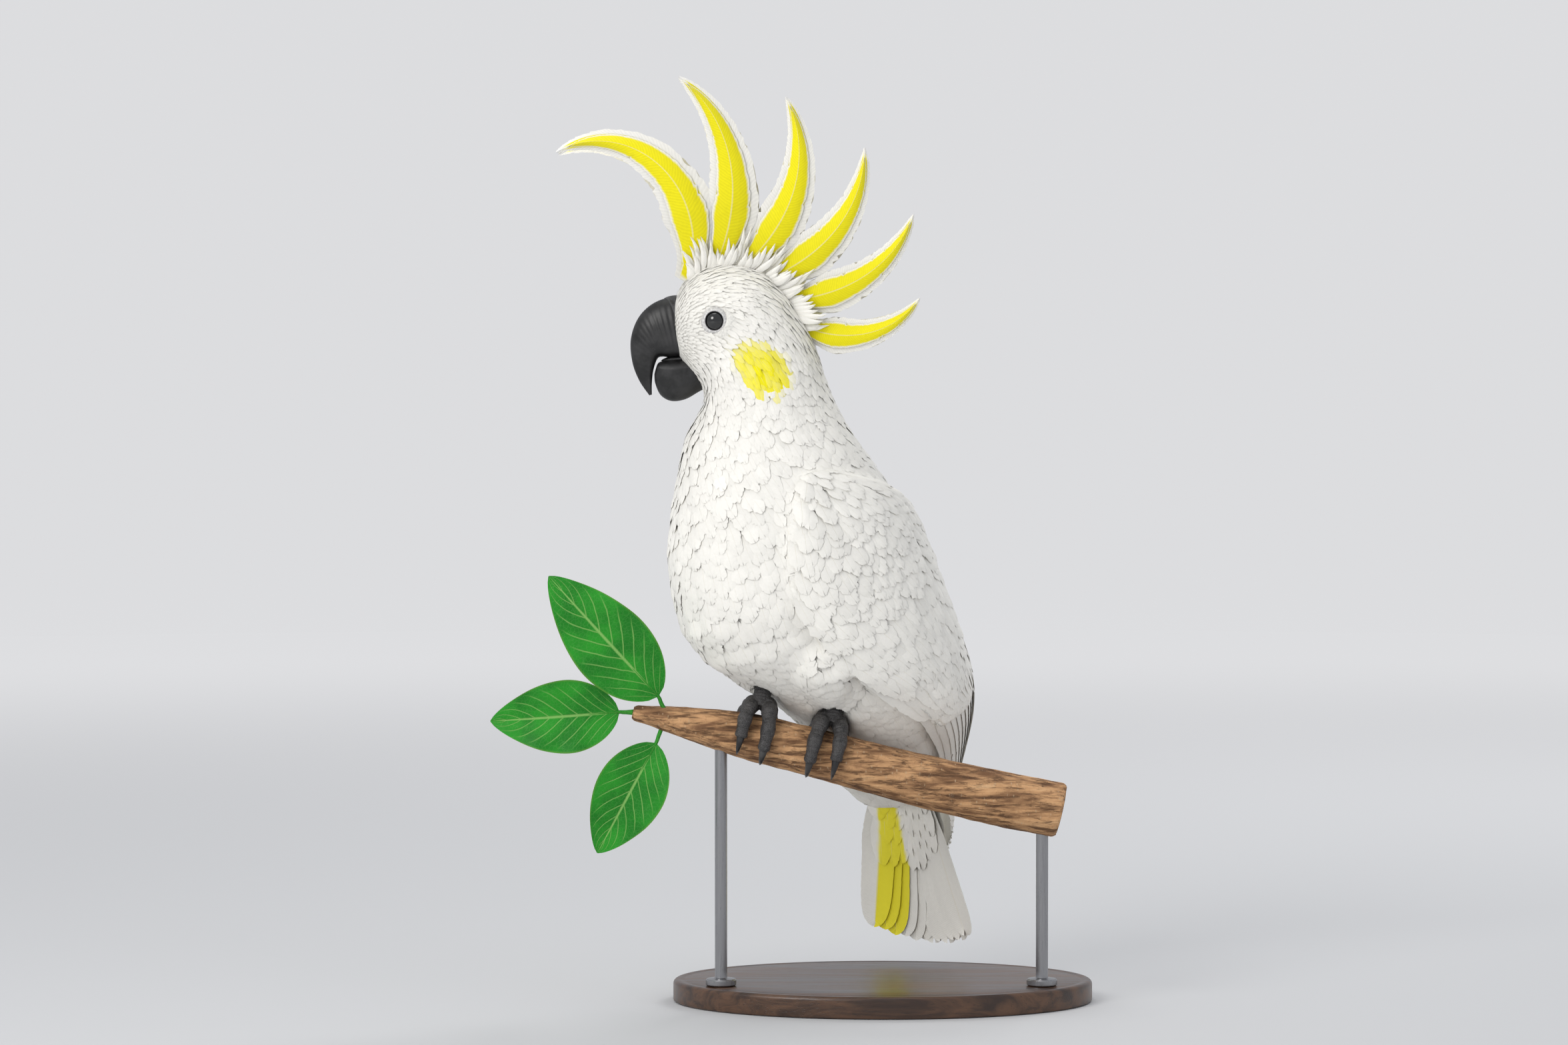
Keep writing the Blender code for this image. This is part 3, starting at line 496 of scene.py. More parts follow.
class Paint:
    """A material's nodes, by short calls. Colours are given as red, green and blue."""

    def __init__(self, name):
        self.made = bpy.data.materials.new(name)
        self.made.use_nodes = True
        self.tree = self.made.node_tree
        self.shader = self.tree.nodes["Principled BSDF"].inputs

    def put(self, socket, value):
        if isinstance(value, Value):
            self.tree.links.new(value.socket, socket)
        else:
            socket.default_value = (*value, 1.0) if socket.type == "RGBA" else value

    def add(self, kind, inputs=None, output=0, **settings):
        node = self.tree.nodes.new(kind)
        for key, value in settings.items():
            setattr(node, key, value)
        for key, value in (inputs or {}).items():
            self.put(node.inputs[key], value)
        return Value(self, node.outputs[output])

    @cached_property
    def place(self):
        """Where a point of the piece lies, in metres."""
        return self.add("ShaderNodeTexCoord", output=3)

    @cached_property
    def uv(self):
        return self.add("ShaderNodeUVMap", uv_map="Vane")

    @cached_property
    def off(self):
        """How far a point of a feather lies from its rachis: 1 at the edge."""
        across = self.add("ShaderNodeSeparateXYZ", {0: self.uv})
        return self.math("ABSOLUTE", across.times_plus(2.0, -1.0))

    @cached_property
    def up(self):
        """How far a point lies along a feather: 1 at the tip."""
        return self.add("ShaderNodeSeparateXYZ", {0: self.uv}, output=1)

    def math(self, operation, a, b=0.0, c=0.0):
        return self.add("ShaderNodeMath", {0: a, 1: b, 2: c}, operation=operation)

    def mix(self, share, a, b, blend="MIX"):
        return self.add(
            "ShaderNodeMix", {0: share, 6: a, 7: b}, output=2, data_type="RGBA", blend_type=blend
        )

    def layers(self, colour, *over):
        """A colour with others laid over it, each with the mask that lets it show."""
        for mask, upper in over:
            colour = self.mix(mask, colour, upper)
        return colour

    def stretched(self, vector, scale, rotation=(0, 0, 0)):
        return self.add("ShaderNodeMapping", {0: vector, 2: rotation, 3: scale})

    def noise(self, scale, detail=3.0, roughness=0.5, distortion=0.0, at=None):
        return self.add("ShaderNodeTexNoise", {
            "Vector": at or self.place, "Scale": scale, "Detail": detail,
            "Roughness": roughness, "Distortion": distortion,
        })

    def cells(self, scale, feature="F1", at=None):
        inputs = {"Vector": at or self.place, "Scale": scale}
        return self.add("ShaderNodeTexVoronoi", inputs, feature=feature)

    def finish(self, colour, roughness, height=None, relief=0.0, strength=1.0, **values):
        """The material; `relief` is how deep the height's bumps are, in metres."""
        self.put(self.shader["Base Color"], colour)
        self.put(self.shader["Roughness"], roughness)
        if height is not None:
            inputs = {"Height": height, "Distance": relief, "Strength": strength}
            self.put(self.shader["Normal"], self.add("ShaderNodeBump", inputs))
        for key, value in values.items():
            self.shader[key.replace("_", " ")].default_value = value
        return self.made


def feather_paint(name, lines, slant, barb_shade, rachis, edge=None, under=None):
    """Barbs slant from the rachis to the edge; the base of a vane is painted greyer than its tip, as
    painted shade where the next feather lies over it.

    `lines` barbs lie along it, `slant` of them between the rachis and the edge; the next number is how dark
    the painted shade in the grooves between barbs is, and `rachis` how far its shaft reaches to each side.
    `edge` gives a pale border: where it starts and ends off the rachis, and how near the root and
    the tip it closes in. With `under`, the tint shows only on faces that look that way.
    """
    p = Paint(name)
    tint = p.add("ShaderNodeAttribute", attribute_name="tint")
    if under is not None:
        inputs = {0: p.add("ShaderNodeTexCoord", output=1), 1: under}
        facing = p.add("ShaderNodeVectorMath", inputs, output=1, operation="DOT_PRODUCT")
        tint = p.mix(facing.ramp(-0.1, 0.1), WHITE, tint)
    wander = p.noise(180.0, 2.0)
    phase = p.off.times_plus(slant, p.up * lines) + wander * 1.1
    barbs = p.math("SINE", phase * (2 * math.pi)).times_plus(0.5, 0.5)
    clumps = p.noise(520.0, 2.0)
    blotch = p.noise(35.0, 3.0)
    shaft = p.off.ramp(0.0, rachis, 1.0, 0.0)
    # Painted shade: the covered base of each vane is darker than its tip, and the grooves between barbs are
    # darker than the barbs.
    shade = p.up.ramp(0.0, 0.70, 0.88, 1.0) * barbs.times_plus(barb_shade * 0.5, 1.0 - barb_shade * 0.5)
    # More painted shade in the hollows between clumps of barbs; the blotches are a random tone of the
    # feather.
    shade = shade * clumps.ramp(0.3, 0.7, 0.97, 1.0) * blotch.ramp(0.3, 0.7, 0.965, 1.0)
    grey = p.add("ShaderNodeCombineColor", {0: shade, 1: shade, 2: shade})
    colour = p.mix(1.0, tint, grey, "MULTIPLY")
    if edge is not None:
        off_from, off_to, root_end, tip_start = edge
        rim = p.math("MAXIMUM", p.off.ramp(off_from, off_to), p.up.ramp(root_end, 0.0))
        rim = p.math("MAXIMUM", rim, p.up.ramp(tip_start, 1.0))
        colour = p.mix(rim, colour, p.mix(1.0, WHITE, grey, "MULTIPLY"))
    colour = p.mix(shaft * 0.45, colour, (0.76, 0.70, 0.55))
    height = barbs * 0.35 + shaft * 1.0 + clumps * 0.35
    return p.finish(colour, 0.66, height, 0.00018, 0.5, Sheen_Weight=0.15, Sheen_Roughness=0.5,
                    Specular_IOR_Level=0.22)


def skin_paint():
    """What shows between the feathers: their colour darkened as painted shade of the plumage, finely
    mottled.
    """
    p = Paint("bird_skin")
    tint = p.add("ShaderNodeAttribute", attribute_name="tint")
    grain = p.noise(900.0, 3.0)
    colour = p.mix(grain.ramp(0.35, 0.7), tint, p.mix(1.0, tint, (0.8, 0.8, 0.8), "MULTIPLY"))
    return p.finish(colour, 0.7, grain, 0.0002, 0.5)


def lid_paint():
    """Bare skin round the eye: powdery white with fine folds, painted shade in their hollows, and dark
    along the edge of the lids.
    """
    p = Paint("bare_eye_skin")
    pebbles = p.cells(1700.0)
    wrinkles = p.noise(1.0, 3.0, at=p.stretched(p.uv, (34.0, 5.0, 1.0)))
    # Painted shade: the hollows of the folds, which the bump sinks, are darker than their crests.
    colour = p.mix(wrinkles.ramp(0.35, 0.65), (0.50, 0.485, 0.475), (0.70, 0.69, 0.67))
    colour = p.mix(p.up.ramp(0.24, 0.44), (0.045, 0.043, 0.045), colour)
    return p.finish(colour, 0.6, wrinkles.times_plus(0.8, pebbles * 0.7), 0.00016, 0.6)


def eye_paint():
    """Near-black iris with a warm brown rim, under a clear wet coat."""
    p = Paint("eye_cornea")
    rays = p.noise(1.0, 4.0, at=p.stretched(p.uv, (60.0, 2.0, 1.0)))
    iris = p.mix(rays.ramp(0.3, 0.7), (0.020, 0.008, 0.004), (0.060, 0.024, 0.010))
    pupil, rim = p.up.ramp(0.27, 0.31), p.up.ramp(0.50, 0.56)
    colour = p.layers((0.002, 0.002, 0.002), (pupil, iris), (rim, (0.008, 0.005, 0.004)))
    return p.finish(colour, 0.10, Coat_Weight=1.0, Coat_IOR=1.6, Coat_Roughness=0.02,
                    Specular_IOR_Level=0.3)


def horn_paint(name, dark, pale, ring_scale, rough):
    """Dark horn with faint growth rings, fine scratches along it and a bloom of powder."""
    p = Paint(name)
    wobble = p.noise(90.0, 3.0)
    rings = p.math("SINE", p.up.times_plus(ring_scale, wobble * 9.0))
    scratches = p.noise(1.0, 6.0, 0.7, 1.2, at=p.stretched(p.uv, (44.0, 5.0, 1.0)))
    bloom = p.noise(70.0, 5.0, 0.62)
    flakes = p.noise(420.0, 4.0, 0.6)
    worn = scratches.ramp(0.60, 0.80, 0.0, 0.35)
    colour = p.layers(dark, (bloom.ramp(0.40, 0.70), pale), (worn, pale))
    height = rings * 0.08 + scratches * 0.22 + flakes * 0.25
    roughness = bloom.ramp(0.35, 0.75, rough, rough + 0.22) + flakes * 0.10
    return p.finish(colour, roughness, height, 0.00025, 0.5)


def scale_paint():
    """Dark grey foot skin: small plates with dusty seams between them."""
    p = Paint("foot_scales")
    seam = p.cells(900.0, "DISTANCE_TO_EDGE").ramp(0.0, 0.14)
    dust = p.noise(160.0, 4.0)
    hollow = p.add("ShaderNodeNewGeometry", output=7)
    colour = p.layers(
        (0.017, 0.016, 0.016),
        (dust.ramp(0.35, 0.7), (0.044, 0.041, 0.040)),
        (seam.ramp(0.0, 1.0, 0.5, 0.0), (0.125, 0.120, 0.118)),
        (hollow.ramp(0.49, 0.42), (0.150, 0.145, 0.140)),
    )
    return p.finish(colour, dust.ramp(0.3, 0.7, 0.40, 0.60), seam * 0.5 + dust * 0.3, 0.00022, 0.7)


def bark_paint():
    """Furrowed bark that runs along the branch, with pale pores, lichen and dark cracks."""
    p = Paint("branch_bark")
    slope = (0, math.radians(-13), 0)
    furrow = p.noise(3.2, 6.0, 0.62, 0.35, at=p.stretched(p.place, (9.0, 60.0, 60.0), slope))
    fleck = p.noise(420.0, 4.0, 0.6)
    pores = p.cells(1.0, at=p.stretched(p.place, (330.0, 160.0, 160.0))).ramp(0.20, 0.08)
    lichen = p.noise(48.0, 5.0, 0.7).ramp(0.66, 0.74)
    cracks = p.noise(1.0, 4.0, 0.6, 0.5, at=p.stretched(p.place, (60.0, 420.0, 420.0), slope))
    colour = p.layers(
        (0.165, 0.080, 0.036),
        (furrow.ramp(0.36, 0.62), (0.56, 0.315, 0.150)),
        (furrow.ramp(0.58, 0.78), (0.66, 0.42, 0.225)),
        (fleck.ramp(0.52, 0.75) * 0.5, (0.20, 0.10, 0.045)),
        (pores * 0.6, (0.50, 0.36, 0.22)),
        (lichen * 0.45, (0.42, 0.43, 0.33)),
        (cracks.ramp(0.46, 0.36, 0.0, 0.75), (0.070, 0.032, 0.014)),
    )
    height = furrow + fleck * 0.25 + cracks.ramp(0.36, 0.50, -0.5, 0.0)
    return p.finish(colour, 0.86, height, 0.0016, 0.75)


def sawn_paint():
    """The cut end: growth rings round the pith, and a dark rim of bark."""
    p = Paint("sawn_wood")
    rings = p.math("SINE", p.up.times_plus(62.0, p.noise(90.0) * 5.0))
    grain = p.noise(700.0, 3.0)
    colour = p.layers(
        (0.60, 0.40, 0.21),
        (rings.ramp(-0.6, 0.9), (0.36, 0.20, 0.09)),
        (grain * 0.3, (0.66, 0.49, 0.29)),
        (p.up.ramp(0.90, 0.97), (0.12, 0.06, 0.03)),
    )
    return p.finish(colour, 0.8, rings * 0.25 + grain, 0.0005, 0.6)


def leaf_paint():
    """A green blade with a paler midrib, slanting side veins and a fine net between them."""
    p = Paint("leaf_blade")
    rib = p.off.ramp(0.015, 0.055, 1.0, 0.0)
    run = p.off.times_plus(-3.0, p.up * 9.0) + p.noise(60.0, 2.0) * 0.35
    side = p.math("PINGPONG", run, 0.5).ramp(0.02, 0.09, 1.0, 0.0) * p.off.ramp(0.95, 0.55)
    net = p.cells(420.0, "DISTANCE_TO_EDGE").ramp(0.0, 0.10, 1.0, 0.0)
    veins = p.math("MAXIMUM", rib, side * 0.8)
    patch = p.noise(45.0, 4.0)
    colour = p.layers(
        (0.008, 0.165, 0.010),
        (patch.ramp(0.3, 0.7), (0.020, 0.285, 0.018)),
        (net * 0.22, (0.10, 0.38, 0.07)),
        (veins * 0.75, (0.26, 0.50, 0.13)),
        (p.off.ramp(0.93, 1.0, 0.0, 0.5), (0.16, 0.30, 0.05)),
    )
    height = patch * 0.3 - (veins + net * 0.25)
    return p.finish(colour, patch.ramp(0.3, 0.7, 0.40, 0.54), height, 0.0006, 0.6,
                    Specular_IOR_Level=0.25)


def stained_paint():
    """Dark stained hardwood, its grain along the base."""
    p = Paint("stained_wood")
    grain = p.noise(2.2, 7.0, 0.6, 0.8, at=p.stretched(p.place, (3.0, 42.0, 42.0)))
    pores = p.noise(1.0, 2.0, at=p.stretched(p.place, (60.0, 1500.0, 1500.0)))
    colour = p.layers(
        (0.028, 0.013, 0.007),
        (grain.ramp(0.34, 0.66), (0.105, 0.050, 0.024)),
        (pores.ramp(0.60, 0.74, 0.0, 0.6), (0.014, 0.007, 0.004)),
    )
    height = grain * 0.4 - pores.ramp(0.58, 0.72)
    return p.finish(colour, grain.ramp(0.3, 0.7, 0.30, 0.42), height, 0.00025, 0.4,
                    Coat_Weight=0.25, Coat_Roughness=0.25)


def steel_paint():
    """Steel brushed along the rods."""
    p = Paint("brushed_steel")
    lines = p.noise(1.0, 3.0, at=p.stretched(p.place, (900.0, 900.0, 45.0)))
    colour = p.mix(lines, (0.27, 0.27, 0.28), (0.40, 0.40, 0.41))
    return p.finish(colour, lines.ramp(0.3, 0.7, 0.26, 0.40), lines, 0.00008, 0.5, Metallic=1.0)


def studio_paint():
    """Pale floor and backdrop; the far part glows a little, so that both look alike."""
    p = Paint("studio_pale")
    place = {0: p.add("ShaderNodeNewGeometry")}
    far = p.add("ShaderNodeVectorMath", place, output=1, operation="LENGTH").ramp(0.5, 3.6)
    p.put(p.shader["Emission Color"], (0.985, 0.987, 1.0))
    p.put(p.shader["Emission Strength"], far * STUDIO_GLOW)
    return p.finish(p.mix(far, STUDIO_NEAR, STUDIO_FAR), 0.85, Specular_IOR_Level=0.1)


PAINTS = {
    "down": feather_paint("plumage_small", 16.0, 0.5, 0.06, 0.07),
    "contour": feather_paint("plumage_contour", 36.0, 1.2, 0.07, 0.04),
    "flight": feather_paint("plumage_flight", 85.0, 1.0, 0.10, 0.06),
    "tail": feather_paint("plumage_tail", 85.0, 1.0, 0.10, 0.06, under=TAIL_UNDER),
    "crest": feather_paint("plumage_crest", 60.0, 0.8, 0.16, 0.07, (0.80, 0.97, 0.02, 0.99)),
    "border": feather_paint("plumage_crest_border", 60.0, 0.8, 0.14, 0.07, (0.60, 0.72, 0.02, 0.95)),
}

# ---------------------------------------------------------------- skin

FLESH = ("head", "neck", "trunk", "thigh_left", "thigh_right", "wing_left", "wing_right")
# By station, tail root to face: depth of the coat, spacing, length and half width of its feathers.
COAT_DEPTH = np.array((3.0, 3.2, 3.3, 3.3, 3.3, 3.1, 2.8, 2.4, 2.0, 1.5, 1.1, 0.9, 0.8)) * MM
SPACING = np.array((6.4, 6.4, 6.4, 6.4, 6.4, 6.0, 5.2, 4.3, 3.4, 2.8, 2.2, 1.8, 1.6)) * MM
LENGTH = np.array((34, 31, 28, 27, 26, 24, 21.5, 18.5, 15.0, 11.8, 8.8, 7.0, 6.0)) * MM
HALF = np.array((8.0, 7.6, 7.2, 7.0, 6.8, 6.2, 5.3, 4.2, 3.1, 2.2, 1.5, 1.1, 1.0)) * MM
FUSE = 0.0008                        # how far the solids are grown, so that their gaps close
PATCH = 0.003                        # a small feather's patch on the skin's own map
WING_RIM = 0.0075                    # the coat also covers a wing's rim, this near to the trunk
SKIN_VOXEL = 0.0021                  # size of the cells that fuse the solids
DEPTH_AT_EYE = 0.0012                # the skin stays this close to the solid round the eye
EAR_AHEAD, EAR_HEIGHT, EAR_LONG, EAR_TALL = 0.0085, 0.4250, 0.0180, 0.0124
EAR_TILT = 0.93, 0.37                # cosine and sine of the yellow patch's slope
BREAST_FROM, NECK_FROM, HEAD_FROM, FACE_FROM = 3.6, 5.9, 8.0, 9.6      # stations of the coat's parts
SCATTERED = 150000                   # places tried for small feathers
BARE_ROUND_EYE = 0.0089
BILL_AHEAD, BILL_ASIDE, BILL_HEIGHTS = 0.050, 0.012, (0.404, 0.459)     # the bill's own place is bare
FRONT_FROM = 1.5                     # the breast and belly start this many radians round from the back
FOOT_REACH, FOOT_BLEND = 0.062, 0.030      # feathers are smaller this near to a foot
BY_FOOT = {"spacing": 0.38, "length": 0.45, "half": 0.35, "depth": 0.35}      # how much smaller
CROWN_FROM, CROWN_HALF = 7.9, 0.95         # station where the crown starts; half its width, in radians
CAMBER, DROOP = 0.07, 0.02           # of a small feather, as shares of its half width
SMALL_STYLE = {"paint": "down", "thick": 0.00010, "fray": 0.36, "settle": 1.9}
LARGE_STYLE = {"paint": "contour", "thick": 0.00014, "fray": 0.20, "settle": 1.55}
# Feathers of the thighs: their size at the top and by the foot.
THIGH_FEATHERS = (("length", 0.0210, 0.0125), ("half", 0.0066, 0.0042), ("depth", 0.0030, 0.0018))


def tree_of(name):
    """The surface of a solid, to search for the nearest place."""
    mesh = frame["nodes"][name].data
    return BVHTree.FromPolygons(vertex_arrays(mesh)[0].tolist(), triangles(mesh).tolist())


TREES = {name: tree_of(name) for name in FLESH}


def from_eye(prof):
    """How far points lie from the eye on their side."""
    gap = prof - np.array(EYE) * np.where(prof[:, 1:2] < 0, (1, -1, 1), 1)
    return np.linalg.norm(gap, axis=1)


def ear_patch(prof):
    """0 to 1 over the yellow ear coverts, behind and below the eye."""
    ahead, height = prof[:, 0] - EAR_AHEAD, prof[:, 2] - EAR_HEIGHT
    cosine, sine = EAR_TILT
    along_patch = (ahead * cosine + height * sine) / EAR_LONG
    across_patch = (height * cosine - ahead * sine) / EAR_TALL
    away = np.sqrt(along_patch ** 2 + across_patch ** 2)
    side = ease((np.abs(prof[:, 1]) - 0.018) / 0.010)
    return ease((1.22 - away) / 0.34) * side


def make_skin():
    """The flesh solids as one closed body, drawn in by the depth of the coat."""
    whole = bmesh.new()
    for name in FLESH:
        part = bmesh.new()
        part.from_mesh(frame["nodes"][name].data)
        bmesh.ops.remove_doubles(part, verts=part.verts, dist=0.00005)
        part.normal_update()
        for vert in part.verts:
            vert.co += vert.normal * FUSE
        mesh = bpy.data.meshes.new("part")
        part.to_mesh(mesh)
        part.free()
        whole.from_mesh(mesh)
        bpy.data.meshes.remove(mesh)
    mesh = bpy.data.meshes.new("skin_core")
    whole.to_mesh(mesh)
    whole.free()
    skin = add_object("bird_skin", mesh)
    mesh = one_body(skin, SKIN_VOXEL, 14)
    points, normals = vertex_arrays(mesh)
    prof = profile(points)
    depth = along(COAT_DEPTH, stations(prof)[0]) + FUSE
    depth = lerp(DEPTH_AT_EYE, depth, ease((from_eye(prof) - 0.010) / 0.008))
    move_points(mesh, points - normals * depth[:, None])
    # The skin is painted in the feathers' colours darkened a little, as the painted shade of the plumage in
    # the gaps between them.
    put_tint(mesh, lerp(WHITE * 0.86, YELLOW * 0.9, ear_patch(prof)[:, None]))
    dress(skin, skin_paint(), FLESH)
    return skin


class Guide:
    """Nearest places on the skin, with its smoothed normals."""

    def __init__(self, obj):
        self.points, self.normals = vertex_arrays(obj.data)
        self.faces = triangles(obj.data)
        self.tree = BVHTree.FromPolygons(self.points.tolist(), self.faces.tolist())

    def blended(self, face, where):
        """The smoothed normals at places on the faces."""
        corners = self.points[self.faces[face]]
        a, b, c = corners[:, 0], corners[:, 1], corners[:, 2]
        full = np.cross(b - a, c - a)
        area = np.maximum((full * full).sum(-1), 1e-24)
        wb = (np.cross(where - a, c - a) * full).sum(-1) / area
        wc = (np.cross(b - a, where - a) * full).sum(-1) / area
        weights = np.stack((1 - wb - wc, wb, wc), -1)[..., None]
        return unit((self.normals[self.faces[face]] * weights).sum(axis=1))

    def nearest(self, points):
        """The places on the skin nearest to some points, and its normals there."""
        flat = points.reshape(-1, 3)
        found = [self.tree.find_nearest(point) for point in flat.tolist()]
        where = np.array([hit[0] for hit in found])
        face = np.array([hit[2] for hit in found])
        return where.reshape(points.shape), self.blended(face, where).reshape(points.shape)

    def scatter(self, count, spacing_at):
        """Random places, denser where the spacing is smaller, thinned to at least that apart."""
        corners = self.points[self.faces]
        a, b, c = corners[:, 0], corners[:, 1], corners[:, 2]
        area = np.linalg.norm(np.cross(b - a, c - a), axis=1)
        share = area / spacing_at(corners.mean(axis=1)) ** 2
        face = RNG.choice(len(share), count, p=share / share.sum())
        r, s = np.sqrt(RNG.random(count)), RNG.random(count)
        weights = np.stack((1 - r, r * (1 - s), r * s), -1)[..., None]
        places = (corners[face] * weights).sum(axis=1)
        spacing = spacing_at(places)
        tree = kd_tree(places)
        alive = np.ones(count, bool)
        kept = []
        for index in range(count):
            if alive[index]:
                kept.append(index)
                for _, other, _ in tree.find_range(places[index], spacing[index]):
                    alive[other] = False
        return self.evened(places[np.array(kept)], spacing_at)

    def evened(self, places, spacing_at, rounds=7):
        """Moves neighbours apart until they lie in even rows."""
        for _ in range(rounds):
            spacing = spacing_at(places) * 1.28
            tree = kd_tree(places)
            push = np.zeros_like(places)
            for index in range(len(places)):
                for point, other, gap in tree.find_range(places[index], spacing[index]):
                    if other != index:
                        push[index] += (places[index] - point) / max(gap, 1e-9) * (spacing[index] - gap)
            places, normals = self.nearest(places + push * 0.22)
        return places, normals


# ---------------------------------------------------------------- feathers

VANE_EDGE = math.radians(75)
SPLITS = 0.05                        # share of barbs where the vane has come apart
MOST_BEND = 0.62                     # small feathers are left out where the skin folds more than this
FAN_REACH = 0.047                    # how far from the bill the feathers of the face fan out


def petal(widest=0.60, root=0.32, square=2.2, power=0.55):
    """Outline of a feather: half width at each distance along it."""
    def outline(y):
        rise = lerp(root, 1.0, ease(y / widest))
        far = np.clip((y - widest) / (1 - widest), 0, 1)
        return np.maximum(rise * np.maximum(1 - far ** square, 0) ** power, 0.03)
    return outline


def plume(y):
    """Outline of a crest feather: fullest a third of the way up and drawn out to the tip."""
    fall = np.maximum(1 - np.maximum(y - 0.30, 0) / 0.70, 0) ** 0.72
    return np.maximum(lerp(0.54, 1.0, ease((y - 0.06) / 0.28)) * fall, 0.02)


class Vane:
    """The grid of a closed thin feather: two faces that meet round the edge.

    Each row is a pair of barbs, from the rachis forward to the outline. x is across and y along
    the feather, for a half width and a length of one. The last row leaves the rachis at `shaft`,
    `lean` draws the middle rows forward, `pack` crowds the rows together at the tip, and `gather`
    crowds the columns together at the rachis.
    """

    def __init__(self, rows, columns, outline, shaft=0.84, lean=0.10, pack=1.5, gather=1.0):
        self.keel = 2 * RACHIS if gather > 1 else 0.0
        share = 1 - (1 - np.linspace(0, 1, rows + 1)) ** pack
        s = np.linspace(-1, 1, columns + 1)
        s = np.sign(s) * np.abs(s) ** gather
        i, j = np.meshgrid(np.arange(rows + 1), np.arange(columns + 1), indexing="ij")
        self.share, self.s = share[i].ravel(), s[j].ravel()
        reach = np.abs(self.s)
        self.root_y = shaft * self.share
        edge_y = lerp(0.02, shaft, self.share) + (1 - shaft) * self.share
        edge_y = np.minimum(edge_y + lean * np.sin(np.pi * self.share ** 0.8), 1.0)
        self.x = self.s * outline(edge_y)
        self.y = lerp(self.root_y, edge_y, reach ** 1.25)
        self.rim = (reach > 0.99) & (i.ravel() > 1)
        thinning = np.minimum(4 * self.share, 1) * (1 - self.share) ** 0.5
        self.rachis = np.exp(-((self.s / 0.05) ** 2)) * thinning
        self.odd = (i.ravel() % 2).astype(float)
        number = np.arange(i.size).reshape(i.shape)
        below = number.copy()
        inner = (slice(1, rows), slice(1, columns))
        below[inner] = number.size + np.arange((rows - 1) * (columns - 1)).reshape(rows - 1, columns - 1)
        self.inner = number[inner].ravel()

        def quads(grid):
            return np.stack((grid[:-1, :-1], grid[:-1, 1:], grid[1:, 1:], grid[1:, :-1]), -1).reshape(-1, 4)

        self.faces = np.concatenate((quads(number)[:, ::-1], quads(below)))
        self.uv = np.stack(((self.s + 1) / 2, self.share), -1)
        self.all_uv = np.concatenate((self.uv, self.uv[self.inner]))

    def grids(self, count, fray, split=0.28):
        """x and y of so many feathers, each with its own ragged edge, split here and there."""
        cut = self.rim * fray * (0.12 * self.odd + 0.88 * RNG.random((count, self.x.size)) ** 1.4)
        cut = np.where(self.rim & (RNG.random(cut.shape) < SPLITS), cut + split, cut)
        return self.x * (1 - cut), self.y - (self.y - self.root_y) * cut

    def both(self, values):
        """Values of the upper face, and again those of the places that a lower face has too."""
        return np.concatenate((values, values[..., self.inner]), axis=-1)

    def cupped(self, y, amount):
        """How far the middle of a vane stands up."""
        return amount * (1 - self.s ** 2) * np.minimum(3 * y, 1)

    def build(self, name, top, normals, thick, tint, bake=None):
        """One mesh of many feathers from their upper faces: top and normals are (count, places, 3).

        tint is a colour for each feather or each place, and bake the feathers' own map.
        """
        deep = thick + self.keel * self.rachis[self.inner]
        under = top[:, self.inner] - normals[:, self.inner] * deep[:, None]
        places = np.concatenate((top, under), axis=1)
        count, each = places.shape[:2]
        faces = (self.faces[None] + (np.arange(count) * each)[:, None, None]).reshape(-1, 4)
        maps = {"Vane": np.tile(self.all_uv, (count, 1))}
        if bake is not None:
            maps["OFBake"] = bake.reshape(-1, 2)
        obj = add_mesh(name, places.reshape(-1, 3), faces, maps)
        put_tint(obj.data, np.repeat(tint, each, axis=0) if tint.ndim == 2 else tint.reshape(-1, 3))
        # The edge of a vane is sharp: its faces keep their own shading.
        obj.data.set_sharp_from_angle(angle=VANE_EDGE)
        return obj


def settled(y, power=1.5):
    """Feathers rise quickly from their roots and lie down on the next ones at their tips."""
    return 1 - np.maximum(1 - y, 0) ** power


def faced(place, lift, way=1.0):
    """Points that far over a surface, and the way its outer side faces."""
    top = place(lift)
    return top, unit(place(lift + way * MM) - top)


def patches(vane, at):
    """A small patch of the skin's own map for each feather."""
    return at[:, None] + PATCH * (vane.all_uv[None] - 0.5)


def atlas(vane, count, cells):
    """A cell of the map for each large feather: upper face in its left half, lower in its right."""
    number = np.arange(count)
    corner = np.stack((number % cells, number // cells), -1) / cells
    size = 0.94 / cells
    top = vane.uv * np.array((0.46, 0.98)) * size
    under = (vane.uv[vane.inner] * np.array((0.46, 0.98)) + np.array((0.5, 0.0))) * size
    return corner[:, None] + 0.02 / cells + np.concatenate((top, under))[None]


def shade_of(amount=0.02, colour=WHITE):
    """The colour, a little lighter or darker."""
    return colour * near_one(amount)


def columns_of(specs, count):
    """The first so many numbers of every spec, and then its colours, each as an array."""
    numbers = np.array([spec[:count] for spec in specs], float)
    colours = zip(*(spec[count:] for spec in specs))
    return (*numbers.T[:, :, None], *(np.array(colour) for colour in colours))


def lie_of(prof, normals):
    """The way feathers point: away from the bill on the face, then down the spine to the tail."""
    u, _ = stations(prof)
    step = 0.05
    run = rows_of(BODY, np.maximum(u - step, -step)) - rows_of(BODY, u)
    spine = np.stack((run[:, 0], np.zeros(len(u)), run[:, 1]), -1)
    spine[u < 0.06] = (-0.022, 0, -0.104)
    fan = prof - np.array((BILL_BASE[0], 0, BILL_BASE[1]))
    near = np.exp(-((np.linalg.norm(fan, axis=1) / FAN_REACH) ** 2))[:, None]
    lie = unit(spine) * (1 - near) + unit(fan) * near
    ahead = world(*(prof + lie * 0.001).T) - world(*prof.T)
    return unit(flattened(ahead, normals))


def turned(vectors, axes, angles):
    """Vectors turned about unit axes that they are square to."""
    return vectors * np.cos(angles)[:, None] + np.cross(axes, vectors) * np.sin(angles)[:, None]


